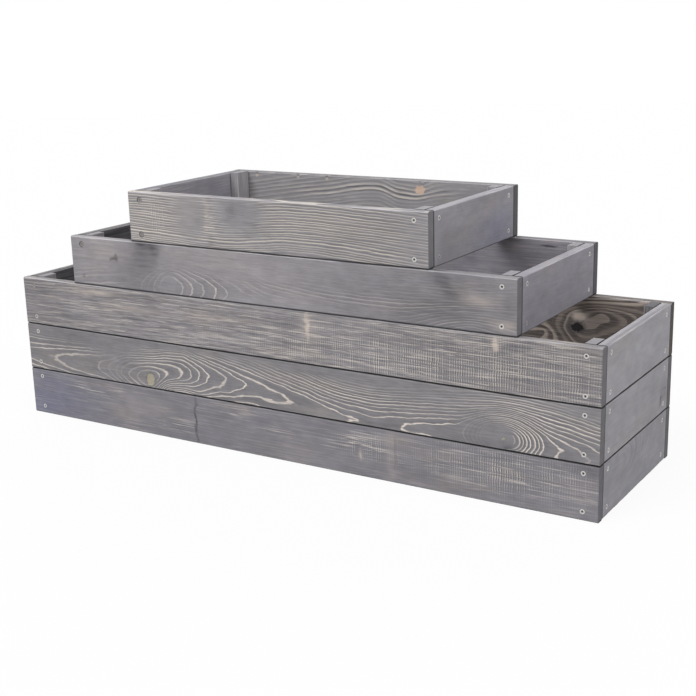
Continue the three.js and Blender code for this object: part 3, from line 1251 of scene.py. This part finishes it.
@dataclass
class Tier:
    """One ring of boards with its corner battens and screws. Sizes are in mm.

    Attributes:
        name: the tier's name, which is also how its nodes' names start.
        courses: how many boards high it is.
        looks: the finish of each board, by the rest of its name.
        edge_radius: the boards' eased edges.
        batten_radius: the battens' eased edges.
        batten_thickness: a batten's size along the tier.
        batten_width: its size from front to back.
        wear: the deepest bite that wear takes out of a board's edge.
        batten_wear: the same for a batten.
        long_inset: from a long board's end to its screws.
        end_inset: from an end board's end to its screws.
        edge_inset: from a board's long edges to its screws.
        rim_shades: how much of its light the rim of each wall keeps, in the order of the sides.
        screws: the points, directions and turns of its screws.
    """

    name: str
    courses: int
    looks: dict[str, StainedSpruce]
    edge_radius: float = 2.0
    batten_radius: float = 1.0
    batten_thickness: float = 20.0
    batten_width: float = 40.0
    wear: float = 0.9
    batten_wear: float = 0.45
    long_inset: float = 28.3
    end_inset: float = 22.5
    edge_inset: float = 16.0
    # painted shade on the rims, darkest at the back and left
    rim_shades: tuple[float, ...] = (0.82, 0.84, 0.5, 0.52)
    screws: list[tuple[Vector, Vector, float]] = field(default_factory=list)

    @property
    def body(self) -> str:
        """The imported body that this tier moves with."""
        return f"{self.name}_tier"

    def build(self, shapes: BedShapes, wood: SpruceNodes, steel: bpy.types.Material) -> None:
        """Builds and dresses the tier's boards, battens and screws.

        Args:
            shapes: the trees that make them.
            wood: the node groups of the wood.
            steel: the screws' material.
        """
        for side in Side:
            for course in range(1, self.courses + 1):
                self.build_board(shapes, wood, side, course)
        for near, end in CORNERS:
            self.build_batten(shapes, wood, near, end)
        self.build_screws(shapes, steel)

    def build_board(self, shapes: BedShapes, wood: SpruceNodes, side: Side, course: int) -> None:
        """Builds one board in its node's place.

        Args:
            shapes: the trees.
            wood: the node groups of the wood.
            side: the wall that it is in.
            course: its row, counted from below.
        """
        part = f"{side.name.lower()}_board"
        if self.courses > 1:
            part = f"{part}_{course}"
        node = f"{self.name}_{part}"
        low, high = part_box(node)
        size = high - low
        flank = side in (Side.RIGHT, Side.LEFT)
        length, thick = (size.y, size.x) if flank else (size.x, size.y)
        corners = {
            Side.FRONT: (low.x, low.y), Side.RIGHT: (high.x, low.y), Side.BACK: (high.x, high.y),
            Side.LEFT: (low.x, high.y),
        }
        corner = Vector((*corners[side], low.z))
        turn = side.value * QUARTER
        place = Matrix.Translation(corner) @ Matrix.Rotation(turn, 4, "Z")
        # painted shade lies in the joints: under each board, over one that carries another and at both ends
        # of an end board; the top course's rim gets painted shade too
        look = replace(
            self.looks[part], free_low=(int(not flank), 1, 0),
            free_high=(int(not flank), 1, int(course == self.courses)),
            rim_shade=self.rim_shades[side.value] if course == self.courses else 1.0,
        )
        board_size = Vector((length, thick, size.z))
        inset = (self.end_inset if flank else self.long_inset) * MM
        piece = run_tree(
            f"{node}_stained", shapes.board,
            {
                "Length": length, "Thickness": thick, "Height": size.z,
                "Edge radius": self.edge_radius * MM, "Wear": self.wear * MM, "Seed": look.seed,
                "Screw end inset": inset, "Screw edge inset": self.edge_inset * MM, "Screwed": True,
                "Place": corner, "Turn": Vector((0.0, 0.0, turn)),
                "Finish": look.material(node, wood, place, board_size),
            },
        )
        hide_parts(node)
        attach(piece, self.body)
        outward = place.to_3x3() @ Vector((0.0, -1.0, 0.0))
        heights = (self.edge_inset * MM, size.z - self.edge_inset * MM)
        # each screw was driven to a turn of its own, in degrees
        for along in (inset, length - inset):
            for up in heights:
                spot = place @ Vector((along, 0.0, up))
                spin = math.fmod(37.0 * len(self.screws) + 11.0 * course, 90.0)
                self.screws.append((spot, outward, math.radians(spin)))
        LOG.info("%s: %d faces", piece.name, len(piece.data.polygons))

    def build_batten(self, shapes: BedShapes, wood: SpruceNodes, near: str, end: str) -> None:
        """Builds one upright corner batten in its node's place.

        Args:
            shapes: the trees.
            wood: the node groups of the wood.
            near: front or back.
            end: left or right.
        """
        node = f"{self.name}_batten_{near}_{end}"
        low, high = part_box(node)
        # the node's screws reach outwards, so the batten itself is measured from its inner faces
        if end == "left":
            low.x = high.x - self.batten_thickness * MM
        else:
            high.x = low.x + self.batten_thickness * MM
        if near == "front":
            low.y = high.y - self.batten_width * MM
        else:
            high.y = low.y + self.batten_width * MM
        size = high - low
        # the batten's own length points up, so its corner is the low one with the highest x
        corner = Vector((high.x, low.y, low.z))
        place = Matrix.Translation(corner) @ Matrix.Rotation(-QUARTER, 4, "Y")
        look = replace(
            self.looks[f"batten_{near}_{end}"], free_low=(1, int(near == "back"), int(end == "left")),
            free_high=(1, int(near == "front"), int(end == "right")),
        )
        batten_size = Vector((size.z, size.y, size.x))
        piece = run_tree(
            f"{node}_stained", shapes.board,
            {
                "Length": size.z, "Thickness": size.y, "Height": size.x,
                "Edge radius": self.batten_radius * MM, "Wear": self.batten_wear * MM, "Seed": look.seed,
                "Screwed": False, "Place": corner, "Turn": Vector((0.0, -QUARTER, 0.0)),
                "Finish": look.material(node, wood, place, batten_size),
            },
        )
        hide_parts(node)
        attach(piece, self.body)
        LOG.info("%s: %d faces", piece.name, len(piece.data.polygons))

    def build_screws(self, shapes: BedShapes, steel: bpy.types.Material) -> None:
        """Builds the tier's screws as one piece.

        Args:
            shapes: the trees and the screw that is repeated.
            steel: the screws' material.
        """
        points = bpy.data.meshes.new(f"{self.name}_screw_points")
        points.from_pydata([spot for spot, _, _ in self.screws], [], [])
        outward = points.attributes.new("outward", "FLOAT_VECTOR", "POINT")
        for row, (_, way, _) in zip(outward.data, self.screws):
            row.vector = way
        spin = points.attributes.new("spin", "FLOAT", "POINT")
        for row, (_, _, turn) in zip(spin.data, self.screws):
            row.value = turn
        piece = run_tree(
            f"{self.name}_screws", shapes.screws, {"Screw": shapes.pattern, "Finish": steel}, points,
        )
        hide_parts(*(f"{self.name}_batten_{near}_{end}" for near, end in CORNERS))
        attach(piece, self.body)
        LOG.info("%s: %d screws", piece.name, len(self.screws))


@dataclass(frozen=True)
class Studio:
    """A pale floor under soft light, a white surround and the camera at the photograph's place.

    Attributes:
        eye: where the camera stands, in metres.
        yaw: how far it is turned to the left of straight ahead, in degrees.
        pitch: how far it looks down, in degrees.
        roll: how far it is rolled, in degrees.
        lens: its focal length, in mm, on a sensor 36 mm wide.
        floor_radius: the floor's size, in metres.
    """

    eye: tuple[float, float, float] = (1.31148, -1.99418, 0.83056)
    yaw: float = 32.2691
    pitch: float = 15.3113
    roll: float = -1.5314
    lens: float = 63.3726
    floor_radius: float = 9.0

    def build(self) -> None:
        """Sets the whole studio up."""
        bpy.context.scene.view_settings.view_transform = "Standard"
        self.build_camera()
        self.build_world()
        self.build_floor()
        self.build_lamps()

    def build_camera(self) -> None:
        """Puts the camera where the photograph was taken from."""
        data = bpy.data.cameras.new("camera")
        data.lens = self.lens
        data.sensor_width = 36.0
        data.dof.use_dof = False
        camera = put("camera", data)
        stand = Matrix.Translation(self.eye)
        for degrees, axis in ((self.yaw, "Z"), (90.0 - self.pitch, "X"), (self.roll, "Z")):
            stand = stand @ Matrix.Rotation(math.radians(degrees), 4, axis)
        camera.matrix_world = stand
        bpy.context.scene.camera = camera

    @staticmethod
    def seen_ray(tree: bpy.types.NodeTree) -> bpy.types.Node:
        """Adds the nodes that are 1 for the rays that show the white surround.

        Args:
            tree: the tree of the floor or the world.

        Returns:
            The node that is 1 for camera, glossy and transmission rays, and 0 for light.
        """
        ray = add(tree, Node.RAY)
        shown = ray.outputs["Is Camera Ray"]
        for name in ("Is Glossy Ray", "Is Transmission Ray"):
            shown = add(tree, Node.MATH, {0: shown, 1: ray.outputs[name]}, operation="MAXIMUM")
        return shown

    def build_world(self) -> None:
        """Lights the object from all round, more from above, behind a white surround."""
        world = bpy.data.worlds.new("studio")
        bpy.context.scene.world = world
        world.use_nodes = True
        tree = world.node_tree
        tree.nodes.clear()
        way = add(tree, Node.SPLIT, {0: add(tree, Node.PLACE).outputs["Generated"]})
        level = add(tree, Node.RANGE, {"Value": way.outputs["Z"], "To Min": 0.44, "To Max": 0.33})
        light = add(tree, "ShaderNodeBackground", {"Color": linear("#fafbff"), "Strength": level})
        white = add(tree, "ShaderNodeBackground", {"Color": linear("#ffffff")})
        both = add(tree, "ShaderNodeMixShader", {0: self.seen_ray(tree), 1: light, 2: white})
        add(tree, "ShaderNodeOutputWorld", {"Surface": both})

    def build_floor(self) -> None:
        """Lays the pale floor, which keeps a faint shadow under the bed."""
        shape = bmesh.new()
        bmesh.ops.create_circle(shape, cap_ends=True, segments=64, radius=self.floor_radius)
        # a hair lower than the bed's underside, so that the two don't share a plane
        bmesh.ops.translate(shape, vec=(0.0, 0.0, -0.1 * MM), verts=shape.verts[:])
        mesh = bpy.data.meshes.new("floor")
        shape.to_mesh(mesh)
        shape.free()
        # matt white paint: even, with no shine
        material, tree = new_material("matt_white_studio_floor")
        matt = add(tree, "ShaderNodeBsdfDiffuse", {"Color": linear("#a6a6a6")})
        glow = add(tree, "ShaderNodeEmission", {"Color": linear("#ffffff"), "Strength": 1.06})
        share = add(tree, Node.MATH, {0: self.seen_ray(tree), 1: 0.86}, operation="MULTIPLY")
        both = add(tree, "ShaderNodeMixShader", {0: share, 1: matt, 2: glow})
        add(tree, "ShaderNodeOutputMaterial", {"Surface": both})
        mesh.materials.append(material)
        floor = put("floor", mesh)

    @staticmethod
    def build_lamps() -> None:
        """Adds soft lamps: a key high at the front left, one above, and fills from right and back."""
        for name, way, strength, angle in (
            ("key_lamp", (-0.35, -0.75, 1.0), 2.1, 36.0), ("top_lamp", (0.1, -0.1, 1.0), 1.28, 30.0),
            ("fill_lamp", (1.0, -0.35, 0.5), 1.15, 60.0), ("back_lamp", (-0.4, 1.0, 0.55), 1.1, 60.0),
        ):
            data = bpy.data.lights.new(name, "SUN")
            data.energy = strength
            data.angle = math.radians(angle)
            put(name, data).rotation_euler = Vector(way).to_track_quat("Z", "Y").to_euler()


def spots_at(places: dict[Effect, list[tuple[float, ...]]]) -> tuple[Spot, ...]:
    """Makes the soft-edged places of a board.

    Args:
        places: for each effect, the numbers of its places, in the order of Spot's own.

    Returns:
        The spots.
    """
    return tuple(Spot(effect, *numbers) for effect, rows in places.items() for numbers in rows)


def bottom_looks() -> dict[str, StainedSpruce]:
    """Gives the finishes of the bottom tier's boards and battens.

    Returns:
        The finishes, by the rest of the pieces' names.
    """
    return {
        # the lowest front board is plain and bluish, with a dark bar and scratched places
        "front_board_1": StainedSpruce(
            tone="#79777d", lines=0.1, rub=0.14, texture=0.34, seed=1.3,
            pith_height=((0.0, -70.0), (0.5, -95.0), (1.0, -60.0)),
            spots=spots_at({
                Effect.BLUE: [(30, 30, 120, 70, 0.5)],
                Effect.DARK: [
                    (40, 50, 120, 80, 0.1), (520, 50, 40, 40, 0.12), (760, 76, 40, 26, 0.12),
                    (980, 30, 50, 30, 0.12), (453, 45, 3.6, 62, 0.75, 3), (1290, 90, 40, 20, 0.3),
                    (913, 60, 3, 30, 0.35, 3),
                ],
                Effect.RUB: [
                    (160, 76, 40, 10, 0.6), (240, 74, 30, 10, 0.6), (270, 12, 36, 9, 0.6),
                    (400, 34, 40, 14, 0.5), (560, 80, 50, 12, 0.6), (640, 60, 40, 10, 0.5),
                    (775, 50, 14, 8, 0.9), (840, 66, 44, 20, 0.9), (1130, 62, 150, 34, 0.6),
                ],
                Effect.PALE: [
                    (575, 84, 16, 6, 0.3), (330, 60, 60, 26, 0.09), (700, 30, 50, 24, 0.09),
                    (840, 42, 3, 10, 0.6, 3), (905, 50, 12, 70, 0.16),
                ],
                Effect.SAW: [(1130, 62, 150, 36, 0.6), (850, 60, 50, 24, 0.4)],
            }),
        ),
        # the middle one shows flat-sawn arches round one pale knot and one ringed knot
        "front_board_2": StainedSpruce(
            tone="#7b797c", line_tint="#d8cec4", knot_tint="#aba489", spacing=3.6, lines=1.0, rub=0.05,
            texture=0.55, least_line=0.65, drift=0.25, seed=2.7,
            pith_depth=(
                (0.0, 63.6), (0.055, 61.9), (0.123, 58.5), (0.17, 55.6), (0.228, 42.1), (0.262, 38.6),
                (0.299, 45.8), (0.336, 52.6), (0.374, 59.3), (0.413, 62.9), (0.449, 66.0), (0.544, 69.1),
                (0.626, 72.7), (0.669, 74.2), (0.713, 72.7), (0.8, 70.6), (0.867, 69.6), (0.93, 71.6),
                (1.0, 77.6),
            ),
            pith_height=(
                (0.0, 34.0), (0.054, 29.0), (0.2, 26.0), (0.262, 20.0), (0.3, 30.0), (0.333, 35.0),
                (0.446, 36.0), (0.492, 28.0), (0.544, 19.0), (0.623, 8.0), (0.713, 12.0), (0.867, 18.0),
                (0.93, 14.0), (1.0, 6.0),
            ),
            spots=spots_at({
                Effect.LINES: [
                    (248, 38, 76, 48, -0.85, 3), (340, 20, 36, 24, -0.7, 3), (150, 98, 280, 34, -0.95, 4),
                    (430, 104, 150, 18, -0.9, 3), (630, 106, 150, 30, -0.85, 3),
                    (900, 108, 240, 60, -0.97, 4), (1088, 22, 62, 36, -0.97, 4), (1190, 46, 60, 40, 0.6),
                    (1124, 22, 26, 22, -1.2, 4), (80, 26, 110, 40, -0.3), (760, 10, 110, 16, -0.25),
                    (820, 46, 150, 26, 0.5), (1290, 106, 120, 42, -0.95, 4), (1275, 6, 60, 16, -0.7),
                ],
                Effect.DARK: [(1080, 4, 60, 12, 0.2), (1132, 6, 9, 4, 0.5), (60, 92, 110, 20, 0.14)],
            }),
            knots=(
                Knot(340, 17, 10, 13, 40, 34, 4.0, 0.66, 0.25),
                Knot(398, -6, 1, 1, 72, 36, -16.0, 0.0, 0.0), Knot(430, 80, 1, 1, 150, 60, 10.0, 0.0, 0.0),
                Knot(880, 78, 1, 1, 260, 60, -10.0, 0.0, 0.0),
                Knot(1127, 21, 3, 2.5, 80, 60, 36.0, 0.5, 0.2),
            ),
        ),
        # the top one is rubbed with pale streaks and saw marks, and has a pale bar
        "front_board_3": StainedSpruce(
            tone="#7f7c80", spacing=7.0, lines=0.3, rub=0.75, saw=0.05, texture=0.75, seed=3.1,
            pith_height=((0.0, -110.0), (0.4, -84.0), (1.0, -110.0)),
            spots=spots_at({
                Effect.SAW: [(1010, 30, 330, 40, 0.75), (1180, 60, 100, 46, 0.3)],
                Effect.RUB: [(1150, 50, 200, 60, 0.3), (260, 40, 300, 90, -0.25)],
                Effect.TEXTURE: [(300, 50, 330, 90, 0.35)],
                Effect.DARK: [
                    # the first is a painted shadow along the top edge, under the middle tier
                    (650, 101.0, 510, 3.2, 0.9, 8), (1180, 60, 240, 80, 0.22), (70, 50, 140, 80, 0.13),
                    (620, 72, 60, 8, 0.25), (52, 77, 50, 9, 0.24), (150, 22, 60, 8, 0.16),
                    (318, 86, 66, 9, 0.3),
                ],
                Effect.PALE: [
                    (200, 85, 62, 6, 0.5), (316, 60, 90, 9, 0.22), (90, 64, 40, 5, 0.2),
                    (540, 66, 80, 7, 0.25), (730, 72, 4.5, 26, 0.75, 3), (1110, 84, 7, 13, 0.75, 4),
                    (740, 62, 20, 40, 0.15),
                ],
            }),
        ),
        "right_board_1": StainedSpruce(
            tone="#8c8a8e", line_tint="#6e6c71", spacing=6.0, lines=0.0, rub=0.0, texture=0.3, drift=0.5,
            seed=4.9, pith_depth=((0.0, 90.0), (0.25, 60.0), (0.75, 98.0), (1.0, 110.0)),
            pith_height=((0.0, 74.0), (0.4, 84.0), (1.0, 90.0)),
            spots=spots_at({Effect.LINES: [(175, 78, 78, 34, 1.0, 3)]}),
        ),
        "right_board_2": StainedSpruce(
            tone="#918f93", lines=0.05, rub=0.0, texture=0.22, seed=5.3,
            spots=spots_at({
                Effect.DARK: [(308, 38, 24, 17, 0.4), (290, 28, 6, 12, 0.5, 3), (316, 44, 3, 3, 0.5, 4)]
            }),
        ),
        "right_board_3": StainedSpruce(
            tone="#949296", lines=0.03, rub=0.0, texture=0.18, seed=6.1,
            # painted shade along the top edge of the outer face
            spots=spots_at({Effect.DARK: [(183, 101.0, 400, 3.2, 0.4, 6, 0.0, 0.0, 10.0)]}),
        ),
        "back_board_1": StainedSpruce(lines=0.45, rub=0.2, end_shade=0.4, seed=7.7),
        "back_board_2": StainedSpruce(
            lines=0.7, end_shade=0.4, seed=8.3,
            pith_depth=((0.0, 60.0), (0.35, 30.0), (0.7, 52.0), (1.0, 70.0)),
            pith_height=((0.0, 40.0), (0.5, 62.0), (1.0, 50.0)),
        ),
        # its inner face, seen over the right end, is brown, bold-grained and has a black knot
        "back_board_3": StainedSpruce(
            tone="#655c57", line_tint="#b5a89d", knot_tint="#1f1b1c", spacing=11.0, lines=0.85, rub=0.25,
            texture=1.3, least_line=0.1, line_width=1.5, end_shade=0.4, drift=2.6, seed=9.1,
            pith_depth=((0.0, 70.0), (0.13, 40.0), (0.3, 66.0), (0.7, 40.0), (1.0, 66.0)),
            pith_height=((0.0, 90.0), (0.12, 20.0), (0.3, 70.0), (1.0, 60.0)),
            spots=spots_at({
                Effect.BLUE: [(650, 50, 2000, 500, 0.38, 4, 0.0, 0.0, 9.0)],
                Effect.LINES: [(650, 50, 2000, 500, -0.35, 4, 0.0, 0.0, 9.0)],
                Effect.PALE: [(176, 57, 17, 9, 0.95, 4, 0.0, 18.0, 10.0)],
                Effect.DARK: [(181, 34, 30, 20, 0.35, 2, 0.0, 18.0, 10.0)],
            }),
            knots=(
                Knot(181, 35, 13, 9, 56, 34, 16.0, 1.0, 0.7), Knot(132, 66, 1, 1, 80, 44, 40.0, 0.0, 0.0),
                Knot(250, 20, 1, 1, 84, 56, -36.0, 0.0, 0.0),
            ),
        ),
        "left_board_1": StainedSpruce(lines=0.3, texture=0.5, seed=10.9),
        "left_board_2": StainedSpruce(
            lines=0.6, texture=0.5, seed=11.3, pith_depth=((0.0, 50.0), (0.4, 30.0), (1.0, 56.0)),
            pith_height=((0.0, 40.0), (1.0, 55.0)),
        ),
        # painted shade: the inner face of the left wall is darker inside the tier
        "left_board_3": StainedSpruce(
            lines=0.35, rub=0.3, seed=12.7,
            spots=spots_at({Effect.DARK: [(260, 60, 200, 90, 0.8, 4, 0.0, 18.0, 9.0)]}),
        ),
        **batten_looks(13.1),
        # painted darker than the others: painted shade in the tier's back right corner
        "batten_back_right": StainedSpruce(
            tone="#625f64", lines=0.1, end_shade=0.62, seed=18.2, pith_height=((0.0, -60.0), (1.0, -64.0)),
        ),
    }


def middle_looks() -> dict[str, StainedSpruce]:
    """Gives the finishes of the middle tier's boards and battens.

    Returns:
        The finishes, by the rest of the pieces' names.
    """
    return {
        # smooth and grey, with a dark wedge, small arches below it and rings at its right end
        "front_board": StainedSpruce(
            tone="#8a878b", line_tint="#cbc3bb", spacing=4.6, lines=0.03, rub=0.08, texture=0.45,
            least_line=0.5, drift=0.3, grime=3.2, seed=21.3,
            pith_depth=(
                (0.0, 71.0), (0.15, 72.0), (0.215, 61.0), (0.254, 50.0), (0.313, 60.8), (0.345, 65.4),
                (0.372, 70.0), (0.4, 74.6), (0.46, 77.5), (0.7, 77.0), (0.86, 72.0), (1.0, 66.0),
            ),
            pith_height=(
                (0.0, -20.0), (0.2, 6.0), (0.26, 12.0), (0.4, 14.0), (0.5, -16.0), (0.85, -32.0),
                (1.0, -22.0),
            ),
            spots=spots_at({
                Effect.LINES: [
                    (310, 18, 104, 32, 0.72, 4), (254, 12, 26, 24, -0.8, 3), (480, 30, 90, 16, 0.35),
                    (700, 34, 160, 14, 0.35), (890, 24, 120, 36, 0.6), (60, 14, 70, 18, 0.6),
                ],
                Effect.DARK: [
                    (174, 28, 60, 42, 0.32, 4), (196, 80, 38, 34, 0.36, 3), (203, 94, 34, 18, 0.3, 3),
                    # the last is a painted shadow along the top edge, under the top tier
                    (222, 84, 12, 16, 0.3, 3), (200, 99, 36, 4, 0.65, 3), (500, 101.0, 342, 3.2, 0.9, 8),
                    # the first is painted shade in the countersink of the upper left screw
                    (28, 84, 5.9, 5.9, 1.5, 6), (110, 60, 5, 5, 0.6, 4, 0.8), (119, 64, 6, 9, 0.75, 4),
                    (860, 86, 18, 34, 0.42, 2, -0.6), (500, 84, 24, 20, 0.14), (840, 50, 200, 90, 0.24),
                    (985, 50, 14, 16, 0.25), (885, 26, 130, 38, 0.26),
                ],
                Effect.PALE: [
                    (84, 74, 50, 26, 0.2), (390, 78, 120, 34, 0.12), (930, 56, 32, 9, 0.35),
                    (974, 18, 22, 8, 0.35),
                ],
                Effect.RUB: [(900, 66, 60, 14, 0.3)], Effect.TEXTURE: [(860, 50, 160, 60, 0.35)],
            }),
            knots=(Knot(905, -6, 1, 1, 115, 64, 24.0, 0.0, 0.0),),
        ),
        "right_board": StainedSpruce(
            tone="#89868d", lines=0.04, rub=0.0, texture=0.18, grime=2.3, seed=22.9,
        ),
        "back_board": StainedSpruce(
            tone="#85828a", lines=0.1, texture=0.4, end_shade=0.35, grime=2.3, seed=23.7,
            spots=spots_at({
                Effect.DARK: [(92, 88, 17, 2.2, 0.9, 4, 0.0, 18.0, 10.0), (162, 94, 14, 7, 0.55)]
            }),
        ),
        # painted shade: the inner face of the left wall is darker inside the tier
        "left_board": StainedSpruce(
            lines=0.3, texture=0.5, grime=2.3, seed=24.1,
            spots=spots_at({Effect.DARK: [(260, 60, 200, 90, 0.8, 4, 0.0, 18.0, 9.0)]}),
        ),
        **batten_looks(25.3),
    }


def top_looks() -> dict[str, StainedSpruce]:
    """Gives the finishes of the top tier's boards and battens.

    Returns:
        The finishes, by the rest of the pieces' names.
    """
    return {
        # close straight rings, pale at the left end and right of the middle, with a pale bar between
        "front_board": StainedSpruce(
            tone="#8c8a8d", line_tint="#e0d5c6", spacing=4.9, lines=0.85, rub=0.15, texture=0.55,
            least_line=0.55, line_width=0.8, drift=0.7, grime=3.2, seed=31.7,
            pith_depth=((0.0, 50.0), (1.0, 60.0)),
            pith_height=((0.0, -160.0), (0.35, -166.0), (0.6, -155.0), (1.0, -165.0)),
            spots=spots_at({
                Effect.LINES: [
                    (152, 62, 40, 50, -0.9, 3), (268, 72, 60, 42, -0.95, 3), (400, 12, 130, 20, -0.35),
                    (650, 50, 40, 80, -0.5),
                ],
                Effect.PALE: [
                    (193, 62, 6, 34, 0.22, 3), (470, 62, 110, 20, 0.12), (50, 50, 90, 60, 0.08),
                    (150, 66, 34, 40, 0.12),
                ],
                Effect.DARK: [
                    (480, 40, 260, 90, 0.16), (254, 76, 18, 13, 0.3), (610, 50, 70, 60, 0.1),
                    # the last two are painted shade in the countersinks of the left screws
                    (28, 84, 5.9, 5.9, 1.5, 6), (28, 16, 5.9, 5.9, 1.5, 6),
                ],
                Effect.RUB: [(200, 50, 13, 50, 1.4, 3)], Effect.SAW: [(66, 50, 20, 40, 0.5)],
            }),
        ),
        "right_board": StainedSpruce(
            tone="#918e93", lines=0.04, rub=0.0, texture=0.18, grime=2.3, seed=32.3,
            spots=spots_at({Effect.BLUE: [(250, 20, 90, 50, 0.35)], Effect.DARK: [(50, 24, 50, 30, 0.15)]}),
        ),
        # its inner face shows an orange knot and three chips under the rim, and one long curved line
        "back_board": StainedSpruce(
            tone="#918f92", line_tint="#c9c2ba", knot_tint="#ceb29c", spacing=8.0, lines=0.32, rub=0.05,
            texture=0.5, least_line=0.5, end_shade=0.3, drift=0.4, grime=2.3, seed=33.1,
            pith_depth=((0.0, 50.0), (1.0, 56.0)),
            pith_height=(
                (0.0, 176.0), (0.12, 181.0), (0.25, 172.0), (0.33, 162.0), (0.38, 163.0), (0.46, 177.0),
                (0.64, 162.0), (0.7, 157.0), (1.0, 124.0),
            ),
            spots=spots_at({
                Effect.LINES: [
                    (100, 60, 70, 60, -0.4), (320, 79, 80, 8, 1.5, 3), (235, 66, 44, 8, 1.5, 3),
                    (160, 76, 40, 8, 0.8), (440, 66, 70, 9, 0.9),
                ],
                Effect.PALE: [(along, 92, 4, 3.5, 0.75, 6, 0.0, 18.0, 6.0) for along in (428, 501, 609)],
                Effect.DARK: [(along, 98, 4, 2.5, 0.75, 6, 0.0, 18.0, 6.0) for along in (428, 501, 609)],
            }),
            knots=(
                Knot(206, 80, 12, 9, 44, 16, 4.0, 0.85, 0.0), Knot(199, 95, 5, 3, 30, 10, 4.0, 0.0, 0.6),
            ),
        ),
        "left_board": StainedSpruce(tone="#8d8b92", lines=0.04, texture=0.2, grime=2.3, seed=34.9),
        **batten_looks(35.7),
    }


def batten_looks(seed: float) -> dict[str, StainedSpruce]:
    """Gives the finishes of one tier's four battens.

    Args:
        seed: the first batten's own number.

    Returns:
        The finishes, by the rest of the battens' names.
    """
    return {
        f"batten_{near}_{end}": StainedSpruce(
            tone="#959296", lines=0.1, rub=0.2, texture=0.5, end_shade=0.68, seed=seed + 1.7 * index,
            pith_height=((0.0, -60.0), (1.0, -64.0)),
        )
        for index, (near, end) in enumerate(CORNERS)
    }


def main() -> None:
    """Builds the bed, tier by tier, and then the studio."""
    logging.basicConfig(level=logging.INFO, format="%(message)s")
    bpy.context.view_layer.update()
    wood = SpruceNodes()
    steel = ZincPlatedSteel().material()
    shapes = BedShapes(ScrewSizes())
    for tier in (
        Tier("bottom", 3, bottom_looks()), Tier("middle", 1, middle_looks()), Tier("top", 1, top_looks()),
    ):
        tier.build(shapes, wood, steel)
    bpy.data.objects.remove(shapes.pattern)
    Studio().build()
    bpy.context.view_layer.update()


if __name__ == "__main__":
    main()
